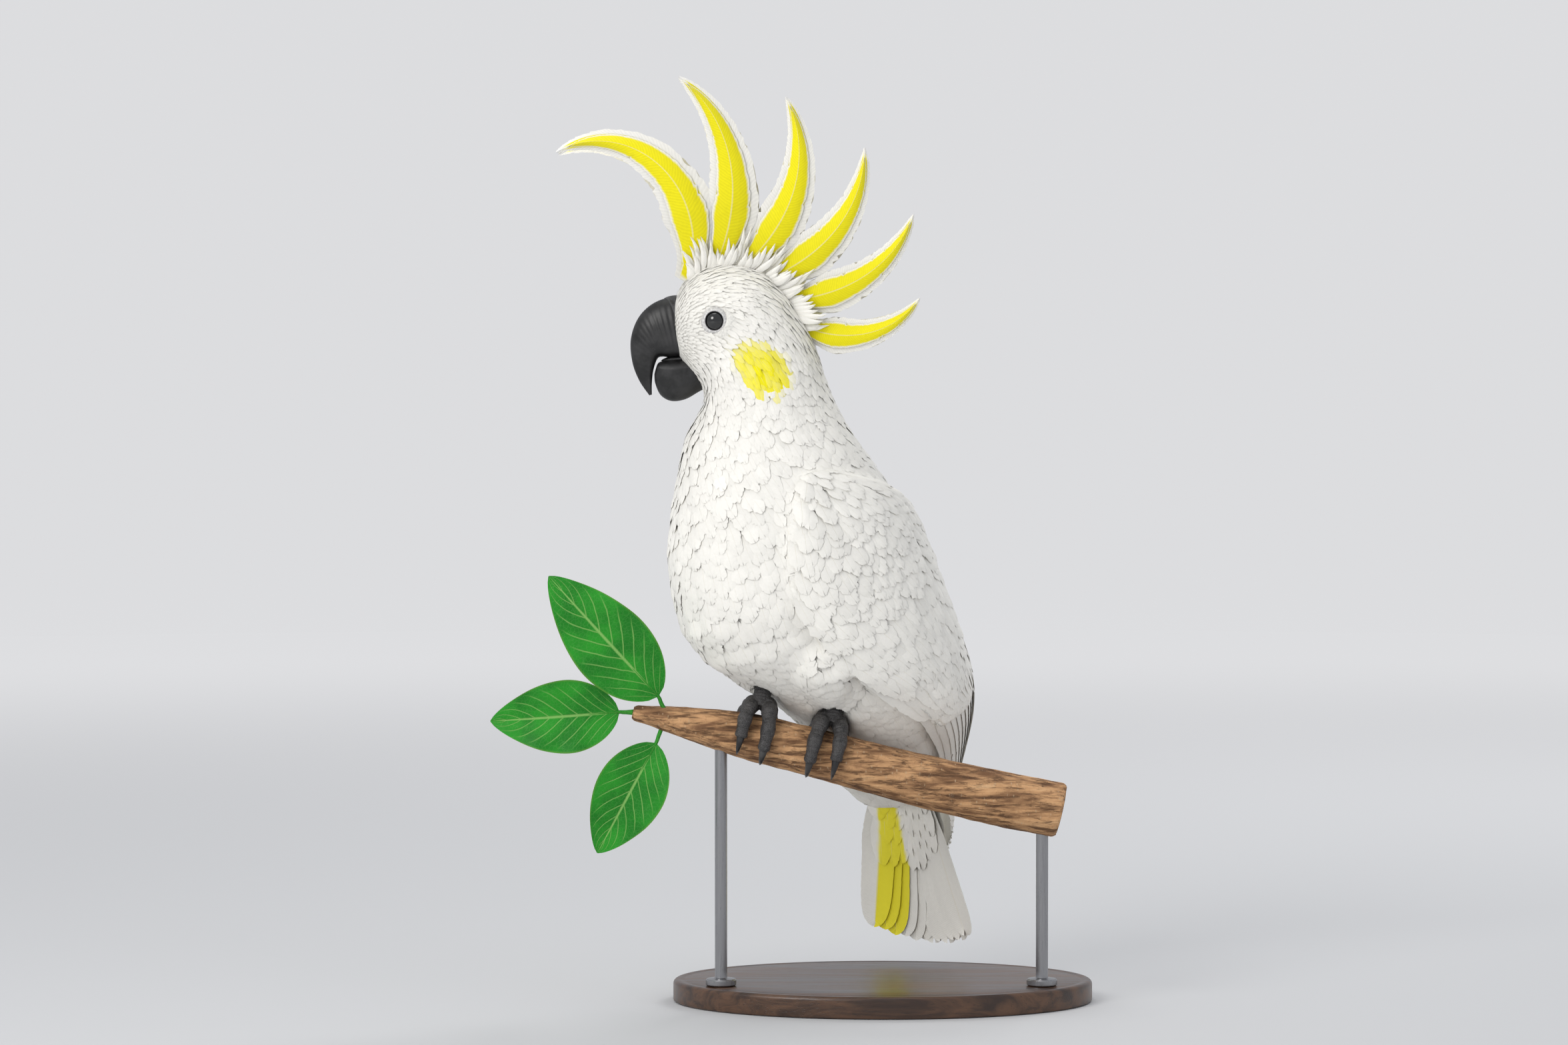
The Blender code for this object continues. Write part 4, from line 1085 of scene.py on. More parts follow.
def body_map(u, around):
    """The skin's own map: way round the spine across, station upwards."""
    return 0.03 + 0.94 * np.stack((around / (2 * np.pi) + 0.5, u / (len(BODY) - 1)), -1)


def choose(picked, mask):
    """The feathers that a mask picks out."""
    return {key: value[mask] for key, value in picked.items()}


def lay_feathers(name, vane, guide, picked, style):
    """Small feathers over the skin, from their roots, following its shape."""
    # Where the skin bends away fast under a feather, the feather is a shorter one, or none.
    tip = picked["root"] + picked["lie"] * picked["length"][:, None]
    reached, tip_normal = guide.nearest(tip)
    bend = np.linalg.norm(reached - tip, axis=1) / picked["length"]
    bend = bend + 0.35 * (1 - (picked["normal"] * tip_normal).sum(-1))
    fit = np.clip(1.15 - 1.1 * bend, 0.42, 1.0)[bend < MOST_BEND]
    picked = choose(picked, bend < MOST_BEND)
    root, normal, lie, depth = picked["root"], picked["normal"], picked["lie"], picked["depth"]
    length, half = picked["length"] * fit, picked["half"] * fit ** 0.6
    side = np.cross(normal, lie)
    x, y = vane.grids(len(root), style["fray"])
    flat = root[:, None] + lie[:, None] * (y * length[:, None])[..., None]
    flat = flat + side[:, None] * (x * half[:, None])[..., None]
    place, up = guide.nearest(flat)
    lift = -0.0003 + (depth * picked["rise"])[:, None] * settled(y, style["settle"])
    lift = lift + half[:, None] * CAMBER * (1 - vane.s ** 2) * np.minimum(y * 2.2, 1.0)
    lift = lift - half[:, None] * DROOP * y ** 3
    top = place + up * lift[..., None]
    obj = vane.build(name, top, up, style["thick"], picked["tint"], patches(vane, picked["map"]))
    dress(obj, PAINTS[style["paint"]])


def feet_at():
    """Where each foot stands on the branch."""
    return [round_branch(share, 0.0, 0.0)[0] for share in FEET.values()]


def by_foot(points):
    """0 to 1 near a foot, where the feathers are smaller and closer."""
    gap = np.min([np.linalg.norm(points - foot, axis=1) for foot in feet_at()], axis=0)
    return ease((FOOT_REACH - gap) / FOOT_BLEND)


def spacing_at(points):
    """How far apart small feathers are rooted."""
    return along(SPACING, stations(profile(points))[0]) * (1 - BY_FOOT["spacing"] * by_foot(points))


def covered(root, prof):
    """Which roots carry a small feather, and which of those are on a thigh."""
    gaps = {name: np.array([tree.find_nearest(p)[3] for p in root.tolist()])
            for name, tree in TREES.items()}
    nearest = np.array(FLESH)[np.stack(list(gaps.values())).argmin(axis=0)]
    ahead, aside, height = prof[:, 0], np.abs(prof[:, 1]), prof[:, 2]
    eye_gap = np.sqrt((ahead - EYE[0]) ** 2 + (height - EYE[2]) ** 2)
    by_eye = (eye_gap < BARE_ROUND_EYE) & (aside > 0.02)
    bottom, top = BILL_HEIGHTS
    in_bill = (ahead > BILL_AHEAD) & (aside < BILL_ASIDE) & (height < top) & (height > bottom)
    off_body = np.minimum(gaps["trunk"], gaps["neck"]) > WING_RIM
    keep = ~(np.char.startswith(nearest, "wing") & off_body) & ~by_eye & ~in_bill
    return keep, np.char.startswith(nearest, "thigh") & keep


def planned(root, normal, prof, thigh):
    """Every small feather's place, direction, colour and sizes."""
    u, around = stations(prof)
    ear, near = ear_patch(prof), by_foot(root)
    vary = RNG.normal(size=(4, len(root)))
    lie = turned(lie_of(prof, normal), normal, 0.07 * vary[0])
    tint = lerp(WHITE, YELLOW, (ear * (0.90 + 0.06 * vary[1]).clip(0, 1))[:, None])
    tint = tint * (1 + 0.018 * vary[2])[:, None]
    crown = ease((u - CROWN_FROM) / 0.8) * ease((CROWN_HALF - np.abs(around)) / 0.5)
    length = along(LENGTH, u) * (1 + 0.09 * vary[3]) * (1 + 0.35 * ear)
    picked = {
        "root": root, "normal": normal, "lie": lie, "tint": tint.clip(0, 0.95),
        "map": body_map(u, around),
        "length": length * (1 + 0.55 * crown) * (1 - BY_FOOT["length"] * near),
        "half": along(HALF, u) * (1 + 0.05 * vary[1]) * (1 - BY_FOOT["half"] * near),
        "depth": along(COAT_DEPTH, u) * (1 - BY_FOOT["depth"] * near),
        "rise": 1 + 0.07 * vary[2] + 0.9 * crown * RNG.random(len(root)),
    }
    # On the thighs they turn down towards the foot, and get smaller on the way.
    for side, foot in zip(FEET, feet_at()):
        mine = thigh & (np.sign(prof[:, 1]) == SIDES[side])
        down = unit(flattened(foot - root[mine], normal[mine]))
        down = turned(down, normal[mine], 0.08 * vary[0][mine])
        lie[mine] = unit(lerp(lie[mine], down, near[mine, None]))
    for key, far_size, near_size in THIGH_FEATHERS:
        picked[key][thigh] = lerp(far_size, near_size, near[thigh])
    return picked


def coat(guide):
    """Every small feather of head, neck, trunk and thighs."""
    root, normal = guide.scatter(SCATTERED, spacing_at)
    prof = profile(root)
    keep, thigh = covered(root, prof)
    picked = planned(root, normal, prof, thigh)
    u, around = stations(prof)
    left, front = prof[:, 1] > 0, np.abs(around) > FRONT_FROM
    low, lower = u < NECK_FROM, u < BREAST_FROM
    trunk = keep & ~thigh
    small, large = petal(0.55, 0.4, 2.0, 0.6), petal()
    body_vane = Vane(13, 6, large)
    groups = {
        "coat_face": (keep & (u >= FACE_FROM), Vane(6, 4, small)),
        "coat_head": (keep & (u >= HEAD_FROM) & (u < FACE_FROM), Vane(7, 4, small)),
        "coat_neck": (trunk & ~low & (u < HEAD_FROM), Vane(10, 4, large)),
        "coat_breast": (trunk & low & front & ~lower, body_vane),
        "coat_belly": (trunk & front & lower, body_vane),
        "coat_back_left": (trunk & low & ~front & left, body_vane),
        "coat_back_right": (trunk & low & ~front & ~left, body_vane),
        "coat_thighs": (thigh, body_vane),
    }
    for name, (mask, vane) in groups.items():
        style = SMALL_STYLE if name in ("coat_face", "coat_head") else LARGE_STYLE
        lay_feathers(name, vane, guide, choose(picked, mask), style)


# ---------------------------------------------------------------- wings

def wing_surface(share, around, lift, sign):
    """A place on the folded wing: share from shoulder to tip, degrees round from the back."""
    row = rows_of(CLOAK, np.clip(share, 0, 1.05) * (len(CLOAK) - 1))
    ahead, aside, height = section(row, np.radians(around), lift)
    return world(ahead, sign * aside, height)


def wing_girth(share):
    """Mean radius of the folded wing's section there."""
    row = rows_of(CLOAK, share * (len(CLOAK) - 1))
    return row[..., 3:6].mean(axis=-1)


def wing_around(share, column):
    """Degrees round from the back: column -1 is the wing's upper edge and 1 its lower one."""
    edges = rows_of(WING_EDGES, share * (len(WING_EDGES) - 1))
    nose = np.minimum(share / 0.10, 1.0)
    tip = np.minimum((1 - share) / 0.12, 1.0)
    half = (edges[..., 1] - edges[..., 0]) / 2
    half = half * np.sqrt(np.maximum(1 - (1 - nose) ** 2, 0.04))
    half = half * np.sqrt(np.maximum(1 - (1 - tip) ** 2, 0.06))
    return (edges[..., 1] + edges[..., 0]) / 2 + half * column


def wing_vanes(name, vane, specs, sign, paint, cells=0, fray=0.25, tilt=0.0):
    """Feathers laid on the wing. Each spec: share and column at root and tip, half width, lift at
    root and tip, camber, bow in degrees, and a colour. A tilt tucks each one's upper edge under."""
    share0, column0, share1, column1, half, lift0, lift1, camber, bow, tint = columns_of(specs, 9)
    around0, around1 = wing_around(share0, column0), wing_around(share1, column1)
    x, y = vane.grids(len(specs), fray, 0.10 if cells else 0.28)
    share = lerp(share0, share1, y)
    around = lerp(around0, around1, y) + bow * np.sin(np.pi * y)
    girth = wing_girth(share)
    run = (share1 - share0) * WING_LENGTH
    swing = np.radians(around1 - around0) * girth
    size = np.sqrt(run ** 2 + swing ** 2)
    share = share - swing / size * x * half / WING_LENGTH
    around = around + np.degrees(run / size * x * half / girth)
    lift = lerp(lift0, lift1, settled(y, 1.25)) + vane.cupped(y, camber * half)
    lift = lift + tilt * half * vane.s * np.minimum(3 * y, 1) + RACHIS * vane.rachis * (cells > 0)
    middle = wing_around(share, 0.0)
    outward = np.abs(around - middle) / (wing_around(share, 1.0) - middle)
    lift = lift - EDGE_SINK * ease((outward - 0.74) / 0.34)
    top, up = faced(lambda lift: wing_surface(share, around, lift, sign), lift)
    if cells:
        thick, bake = THICK, atlas(vane, len(specs), cells)
    else:
        at = np.stack(((column0[:, 0] + 1.2) / 2.4, share0[:, 0].clip(0, 1)), -1)
        thick, bake = COVERT_THICK, patches(vane, 0.04 + 0.92 * at)
    obj = vane.build(name, top, up, thick, tint, bake)
    if sign < 0:
        obj.data.flip_normals()
    return dress(obj, PAINTS[paint])


def covert_rows(rows, length, half, lift):
    """Staggered rows of coverts between two shares of the wing."""
    specs = []
    for number, share in enumerate(rows):
        top, low = (wing_around(share, column) for column in COVERT_COLUMNS)
        room = math.radians(float(low - top)) * float(wing_girth(share))
        count = max(int(room / (half * 1.22)), 3)
        for k in range(count):
            column = lerp(*COVERT_COLUMNS, (k + 0.5 * (number % 2) + 0.25) / count)
            column += 0.02 * RNG.normal()
            reach = length * near_one(0.06) / WING_LENGTH
            start = share + 0.006 * RNG.normal() + 0.02 * column ** 2
            specs.append((
                start, column, start + reach, column * 0.985 - 0.015, half * near_one(0.05),
                lift[0], lift[1] + 0.0003 * RNG.normal(), 0.08, 0.0, shade_of(),
            ))
    return specs


def greater_coverts():
    """A row of long coverts over the roots of the flight feathers."""
    specs = []
    for share in np.linspace(0, 1, GREATERS):
        column = lerp(-0.88, 0.95, share)
        tip = GREATER_TIP - 0.03 * column ** 2 + 0.010 * RNG.normal()
        specs.append((GREATER_ROOT + 0.005 * RNG.normal(), column, tip, column * 0.97, 0.0092,
                      -0.0030, -0.0014 - 0.0017 * share, 0.02, 0.0, shade_of(0.012)))
    return specs


def flight_feathers():
    """Tertials near the back, then secondaries, each a little under the one before, and primaries."""
    specs = []
    for k, share in enumerate(np.linspace(0, 1, INNERS)):
        column = lerp(-0.74, 0.90, share)
        tip = lerp(*INNER_TIPS, ease(share)) + 0.004 * RNG.normal()
        specs.append((INNER_ROOT, column, tip, column * 0.86, lerp(0.0125, 0.0095, share),
                      -0.0036 - 0.0002 * k, -0.0008 - 0.00030 * k, 0.02, 1.2, shade_of(0.015)))
    for k, share in enumerate(np.linspace(0, 1, PRIMARIES)):
        column = lerp(0.80, -0.30, share)
        tip = lerp(*PRIMARY_TIPS, share ** 0.85)
        specs.append((PRIMARY_ROOT, column, tip, lerp(0.72, 0.02, share), 0.0092,
                      -0.0070 - 0.0001 * k, -0.0040 - 0.0002 * k, 0.02, 2.0, shade_of(0.015)))
    return specs


def wings():
    """Three kinds of coverts on each wing, and under them the feathers that reach its tip."""
    long_shape, quill = petal(0.5, 0.5, 4.0, 0.5), petal(0.35, 0.5, 9.0, 0.5)
    for side, sign in SIDES.items():
        lesser, median = covert_rows(*LESSER_COVERTS), covert_rows(*MEDIAN_COVERTS)
        wing_vanes("lesser_coverts_" + side, Vane(12, 6, petal()), lesser, sign, "contour")
        wing_vanes("median_coverts_" + side, Vane(14, 6, petal()), median, sign, "contour")
        wing_vanes("greater_coverts_" + side, Vane(26, 8, long_shape, 0.92, 0.08, 1.4, 1.7),
                   greater_coverts(), sign, "flight", 4, 0.10, 0.13)
        obj = wing_vanes("flight_" + side, Vane(60, 8, quill, 0.965, 0.07, 1.25, 1.7),
                         flight_feathers(), sign, "flight", 5, 0.05, 0.12)
        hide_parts("primaries_" + side)


# ---------------------------------------------------------------- tail

def tail_surface(share, column, lift):
    """A place on the tail's fan: share from root to tip, and column from -1 to 1 across."""
    share = np.asarray(share, float)
    half = lerp(TAIL_HALF_ROOT, TAIL_HALF_TIP, share)
    roof = TAIL_ROOF * (1 - column * column) * lerp(1.0, 0.6, share)
    ahead = lerp(TAIL_ROOT[0], TAIL_TIP[0], share)
    height = lerp(TAIL_ROOT[1], TAIL_TIP[1], share)
    return world(ahead - roof - lift, half * column, height)


def in_stripe(column, share):
    """How far a place under the tail lies inside its yellow stripe, from 0 to 1."""
    outer = (column - lerp(*STRIPE_OUTER, share)) / STRIPE_BLUR
    inner = (lerp(*STRIPE_INNER, share) - column) / STRIPE_BLUR
    return ease(0.5 + outer) * ease(0.5 + inner)


def tail_vanes(name, vane, specs, paint, below, cells, fray):
    """Feathers of the fan. Each spec: share and column at root and tip, half width, lift at root
    and tip, camber, and a colour for each web. Those below face the ground, the rest the back."""
    share0, column0, share1, column1, half, lift0, lift1, camber, lower, upper = columns_of(specs, 8)
    x, y = vane.grids(len(specs), fray, 0.02)
    share = lerp(share0, share1, y)
    girth = lerp(TAIL_HALF_ROOT, TAIL_HALF_TIP, share)
    column = lerp(column0, column1, y) + x * half / girth
    way = -1.0 if below else 1.0
    lift = lerp(lift0, lift1, y) + vane.cupped(y, way * camber * half)
    lift = lift + half * TAIL_TILT * vane.s * np.sign(column1 + 1e-6) * np.minimum(3 * y, 1)
    lift = lift + way * RACHIS * vane.rachis
    top, up = faced(lambda lift: tail_surface(share, column, lift), lift, way)
    tint = np.where((vane.both(vane.s) < 0)[None, :, None], lower[:, None], upper[:, None])
    if below:
        tint = lerp(tint, YELLOW, 0.95 * vane.both(in_stripe(column, share))[..., None])
    obj = vane.build(name, top, up, THICK, tint, atlas(vane, len(specs), cells))
    if not below:
        obj.data.flip_normals()
    return dress(obj, PAINTS[paint])


def tail():
    """Twelve rectrices: the middle pair on top, each outer one below its neighbour."""
    specs = []
    # The second and third from one edge are yellow, and so is the outer feather's inner web.
    for k in range(12):
        column = (k - TAIL_MIDDLE) / TAIL_MIDDLE
        out = abs(column)
        white = shade_of(0.012)
        yellow = lerp(white, YELLOW, 0.96)
        striped = k in (1, 2)
        specs.append((-0.06, column * 0.62, 1.0 - 0.075 * out ** 2 - 0.012 * (k % 2), column * 0.80,
                      0.0128, 0.0026 - 0.0042 * out, 0.0020 - 0.0046 * out, 0.04,
                      yellow if striped else white, yellow if striped or k == 0 else white))
    order = sorted(range(12), key=lambda k: abs(k - TAIL_MIDDLE))
    obj = tail_vanes("tail_feathers", Vane(60, 8, petal(0.4, 0.5, 7.0, 0.5), 0.965, 0.06, 1.25, 1.7),
                     [specs[k] for k in order], "tail", False, 4, 0.02)
    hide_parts("tail")
    for below in (False, True):
        covers = []
        for row, (start, reach) in enumerate(TAIL_COVERTS):
            for k in range(7):
                column = lerp(-0.80, 0.80, (k + 0.5 * (row % 2)) / 6.5)
                bias = -1 if below else 1
                white = shade_of()
                covers.append((start + 0.018 * RNG.normal(), column * 0.8,
                               start + reach * near_one(0.08) - 0.10 * column ** 2,
                               column * 0.78, 0.0088, bias * (0.0030 + 0.0008 * row),
                               bias * (0.0036 + 0.0010 * row), 0.10, white, white))
        name = "undertail_coverts" if below else "uppertail_coverts"
        tail_vanes(name, Vane(20, 6, petal(0.5, 0.42, 2.4, 0.6)), covers, "contour", below, 6, 0.12)


# ---------------------------------------------------------------- crest

def crown_roots():
    """Where the crest's roots lie, evenly along the crown: ahead and height of each."""
    row = rows_of(BODY, np.linspace(CREST_FRONT, CREST_BACK, 400))
    ahead, _, height = section(row, np.zeros(len(row)), -CREST_DEPTH)
    walked = np.concatenate(((0.0,), np.cumsum(np.hypot(np.diff(ahead), np.diff(height)))))
    wanted = np.linspace(0, walked[-1], len(CREST))
    return np.interp(wanted, walked, ahead), np.interp(wanted, walked, height)


def crest_feather(length, first, last, root_ahead, root_height, rows):
    """Middle line of one feather: ahead, height and direction of each row."""
    direction = np.radians(lerp(first, last, np.linspace(0, 1, rows + 1) ** CREST_CURL))
    step = length / rows
    ahead = root_ahead + np.concatenate(((0.0,), np.cumsum(step * np.cos(direction[:-1]))))
    height = root_height + np.concatenate(((0.0,), np.cumsum(step * np.sin(direction[:-1]))))
    return np.stack((ahead, height, direction), -1)


def crest_piece(name, vane, rows, specs, paint, cells):
    """Specs: length, degrees up at root and tip, half width, root's ahead and height, how far aside
    it stands, degrees of splay, cup, side and colour."""
    tops, ups = [], []
    for length, first, last, half, root_ahead, root_height, aside, splay, cup, sign, _ in specs:
        line = crest_feather(length, first, last, root_ahead, root_height, rows)
        x, y = (grid[0] for grid in vane.grids(1, 0.08, 0.10))
        where = y * rows
        ahead, height, direction = rows_of(line, where.clip(0, rows)).T
        beyond = np.maximum(where - rows, 0) * length / rows
        ahead = ahead + beyond * np.cos(direction) + half * x * np.sin(direction)
        height = height + beyond * np.sin(direction) - half * x * np.cos(direction)
        away = aside + length * y * math.tan(math.radians(splay)) + vane.cupped(y, cup * half)
        top, up = faced(lambda away: world(ahead, sign * away, height), away + RACHIS * vane.rachis)
        tops.append(top)
        ups.append(up)
    tints = np.array([spec[-1] for spec in specs])
    bake = atlas(vane, len(specs), cells)
    obj = vane.build(name, np.array(tops), np.array(ups), CREST_THICK, tints, bake)
    return dress(recalculated(obj), PAINTS[paint])


def crest():
    """Six yellow pairs that curl forward, the bordered ones behind them, and white ones at the roots."""
    places = np.stack((*np.array(CREST).T, *crown_roots()), -1)
    main, backing, white = [], [], []
    for sign in SIDES.values():
        for length, first, last, half, *root in places:
            main.append((length, first, last, half, *root, CREST_ASIDE, CREST_SPLAY, CREST_CUP, sign,
                         shade_of(0.03, YELLOW)))
            bent = lerp(first, last, BACKING_REACH ** CREST_CURL)
            backing.append((length * BACKING_REACH, first, bent, half * BACKING_WIDTH, *root,
                            CREST_ASIDE - 0.0021, CREST_SPLAY, BACKING_CUP, sign, shade_of(0.03, YELLOW)))
            part = 0.84 + 0.05 * RNG.random()
            start, bent = first + 3 * RNG.normal(), lerp(first, last, part ** CREST_CURL)
            backing.append((length * part, start, bent, half, *root, 0.0008, 1.8, BACKING_CUP, sign,
                            shade_of(0.03, YELLOW)))
        for where in np.linspace(-0.35, len(CREST) - 0.75, 74):
            _, first, last, _, *root = rows_of(places, where)
            first, last = first + 6 * RNG.normal(), last + 9 * RNG.normal()
            row, gap = RNG.random(), abs(where - round(where)) * 2
            length = lerp(0.015, 0.031, gap) * (1 - 0.35 * row) * near_one(0.10)
            white.append((length, first + 3, lerp(first, last, 0.5), 0.0017 + 0.0006 * row, *root,
                          CREST_ASIDE + 0.0012 + 0.0050 * row, CREST_SPLAY + 2 + 12 * row, CREST_CUP,
                          sign, shade_of()))
    tall, wide = Vane(70, 8, plume, 0.965, 0.05, 1.25, 1.7), Vane(60, 8, plume, 0.95, 0.06, 1.25, 1.5)
    obj = crest_piece("crest_feathers", tall, 44, main, "crest", 4)
    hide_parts(*[f"crest_{side}_{k + 1}" for side in SIDES for k in range(len(CREST))])
    crest_piece("crest_border_feathers", wide, 40, backing, "border", 5)
    short = Vane(16, 4, petal(0.42, 0.5, 1.5, 0.8), 0.90, 0.06)
    crest_piece("crest_base_feathers", short, 12, white, "down", 13)


# ---------------------------------------------------------------- bill and eyes

def bill_rings(table, widest, rows, sides):
    """Rings of half a bill, widest at that share of its height, with their row and turn."""
    where, turn = np.linspace(0, len(table) - 1, rows), turns(sides)
    section_rows = rows_of(table, where)
    top, low, half = section_rows[:, 0:2], section_rows[:, 2:4], section_rows[:, 4]
    middle = lerp(low, top, widest)
    arm = np.where((np.sin(turn) > 0)[None, :, None], (top - middle)[:, None], (low - middle)[:, None])
    spot = middle[:, None] + arm * np.abs(np.sin(turn))[None, :, None]
    across = np.sign(np.cos(turn)) * np.abs(np.cos(turn)) ** BILL_ROUND * half[:, None]
    return spot, across, where, turn


def bill():
    """Upper and lower bill, and the lining between them."""
    horn = horn_paint("bill_horn", (0.006, 0.006, 0.006), (0.026, 0.0255, 0.026), 130.0, 0.34)
    # The two halves, with shallow rings where the upper one grew.
    for half, table, widest, rows, sides, ring_depth in (
        ("upper", UPPER_BILL, UPPER_WIDEST, 110, 56, 0.012),
        ("lower", (LOWER_BILL_ROOT,) + LOWER_BILL, 0.74, 84, 48, 0.0),
    ):
        spot, across, where, turn = bill_rings(table, widest, rows, sides)
        swell = 1 + ring_depth * np.sin(where * 21.0)[:, None] * (np.sin(turn) > -0.2)
        obj = add_loft(f"bill_{half}_horn", [loft(world(spot[..., 0], across * swell, spot[..., 1]))])
        dress(obj, horn, ("bill_" + half,))
    # The dark lining that shows where the two halves don't meet.
    t = np.linspace(0, 1, 16)
    path = world(lerp(0.0450, 0.0690, t), 0.0 * t, 0.4226 - 0.0016 * t ** 2)
    girth = lerp(0.0082, 0.0040, t) * np.sqrt(np.clip((1 - t) / 0.22, 0.002, 1))
    lining = sweep(path, girth, 28, (0.0, 0.0, 1.0), 0.42)
    dress(add_loft("bill_lining", [loft(lining)]), horn)


def cere():
    """A band of bare dark skin over the base of the upper bill, with the nostrils in it."""
    share, turn = np.linspace(0, 1, 60), np.linspace(0, math.pi, 97)[:, None]
    row = rows_of(UPPER_BILL, (0.50 + 0.98 * share) * (1 - 0.30 * np.abs(np.cos(turn))))
    top, low, half = row[..., 0:2], row[..., 2:4], row[..., 4]
    middle = lerp(low, top, UPPER_WIDEST)
    arm = (top - middle) * np.sin(turn)[..., None]
    swell = CERE_SWELL * np.sin(np.pi * share) ** 0.6 + 0.0001
    nostril = ((share - 0.80) / 0.075) ** 2 + ((np.abs(turn - math.pi / 2) - 0.46) / 0.13) ** 2
    pit = np.exp(-nostril)
    wide = np.sign(np.cos(turn)) * np.abs(np.cos(turn)) ** BILL_ROUND * (half + swell) * (1 - 0.12 * pit)
    place = middle + arm * (1 + swell / 0.030)[:, None]
    inward = arm / np.maximum(np.linalg.norm(arm, axis=-1, keepdims=True), 1e-6)
    place = place - inward * (NOSTRIL_DEPTH * pit)[..., None]
    rings = world(place[..., 0], wide, place[..., 1])
    inner = rings + unit(world(0.045, 0.0, 0.440) - rings) * CERE_THICK
    grid = np.concatenate((rings, inner[::-1]), axis=0).transpose(1, 0, 2)
    paint = horn_paint("cere_skin", (0.036, 0.036, 0.038), (0.110, 0.108, 0.110), 30.0, 0.55)
    dress(add_loft("bill_cere", [loft(grid)]), paint)


def eye_axes(sign):
    """Centre of the eye and its own axes: outwards, up and across."""
    centre = world(EYE[0], sign * (EYE[1] - EYE_SUNK), EYE[2])
    out = unit(world(EYE[0] + 0.00022, sign * (EYE[1] + 0.001), EYE[2] + 0.0001) - centre)
    up = unit(np.array((0, 0, 1.0)) - out[2] * out)
    return centre, out, up, np.cross(out, up)


def eyeball(side, paint, centre, out, up, across):
    """The ball with the cornea's bulge, as rings from the middle of the cornea to the back."""
    polar, turn = np.linspace(0.02, math.pi - 0.02, 40), turns(48)
    radius = EYE_RADIUS * (1 + 0.055 * np.exp(-((polar / 0.52) ** 2)))
    wheel = up * np.cos(turn)[:, None] + across * np.sin(turn)[:, None]
    rings = centre + (out * (np.cos(polar) * radius)[:, None])[:, None]
    rings = rings + wheel[None] * (np.sin(polar) * radius)[:, None, None]
    dress(add_loft("eyeball_" + side, [loft(rings)]), paint, ("eye_" + side,))


def eyelids(side, paint, centre, out, up, across):
    """A soft ring round the opening, thicker above, that lies on ball and skin."""
    rows, sides = 120, 30
    a = (2 * np.pi * np.arange(rows) / rows)[:, None, None]
    b = (2 * np.pi * np.arange(sides) / sides)[None, :, None]
    way = up * np.cos(a) + across * np.sin(a)
    opening = EYE_RADIUS * (0.7325 - 0.0325 * np.cos(a)) * (1 - 0.05 * np.abs(np.sin(a)) ** 3)
    height = np.sqrt(EYE_RADIUS ** 2 - opening ** 2)
    seat = centre + way * (opening + 0.0009) + out * (height + 0.0001)
    reach = np.maximum(np.cos(b), 0)
    wide = np.where(np.cos(b) > 0, LID_WIDTH + 0.0002 * np.sin(3 * a + 1), 0.0009)
    tall = LID_HEIGHT + 0.00022 * np.cos(a) - 0.0004 * reach
    fold = 0.00007 * np.sin(reach * 15 + 1.3 * np.sin(5 * a)) * (np.sin(b) > 0)
    rise = tall * np.sin(b) + fold - 0.0010 * reach - 0.0046 * reach ** 2.2
    points = (seat + way * (wide * np.cos(b)) + out * rise).reshape(-1, 3)
    around = 0.5 + 0.5 * np.cos(b.ravel())
    uv = np.stack(np.meshgrid(around, np.arange(rows) / rows), -1)[..., ::-1].reshape(-1, 2)
    obj = add_mesh("eyelids_" + side, points, tube_quads(rows, sides, ring=True), {"Vane": uv})
    dress(recalculated(obj), paint)


def eyes():
    paint, lid = eye_paint(), lid_paint()
    for side, sign in SIDES.items():
        axes = eye_axes(sign)
        eyeball(side, paint, *axes)
        eyelids(side, lid, *axes)


# ---------------------------------------------------------------- branch, feet and leaves

BRANCH_ALONG = (BRANCH_RIGHT - BRANCH_LEFT) / np.linalg.norm(BRANCH_RIGHT - BRANCH_LEFT)
BRANCH_UP = -np.cross((0.0, 1.0, 0.0), BRANCH_ALONG)
BRANCH_LENGTH = float(np.linalg.norm(BRANCH_RIGHT - BRANCH_LEFT))


def branch_row(share):
    """Middle and radius of the branch at a share of its length."""
    share = np.asarray(share, float)
    centre = lerp(BRANCH_LEFT, BRANCH_RIGHT, share[..., None])
    centre[..., 2] += BRANCH_SWAY * np.sin(2 * np.pi * share)
    radius = rows_of([(v,) for v in BRANCH_RADII], share * (len(BRANCH_RADII) - 1))[..., 0]
    return centre, radius


def round_branch(share, degrees, away):
    """A place that far off the branch's surface, degrees round from its top, and the way out."""
    centre, radius = branch_row(share)
    turn = np.asarray(np.radians(degrees))[..., None]
    out = BRANCH_UP * np.cos(turn) - np.array((0.0, 1.0, 0.0)) * np.sin(turn)
    return centre + out * np.asarray(radius + away)[..., None], out


def knot(share, degrees, at_share, at_degrees, size):
    """Height of a healed knot, with a hollow in its middle."""
    run = (share - at_share) * BRANCH_LENGTH
    round_way = np.radians((degrees - at_degrees + 180) % 360 - 180) * 0.017
    away = np.sqrt(run ** 2 + round_way ** 2) / size
    return size * (0.22 * np.exp(-(away ** 2) * 1.6) - 0.24 * np.exp(-(away ** 2) * 7))


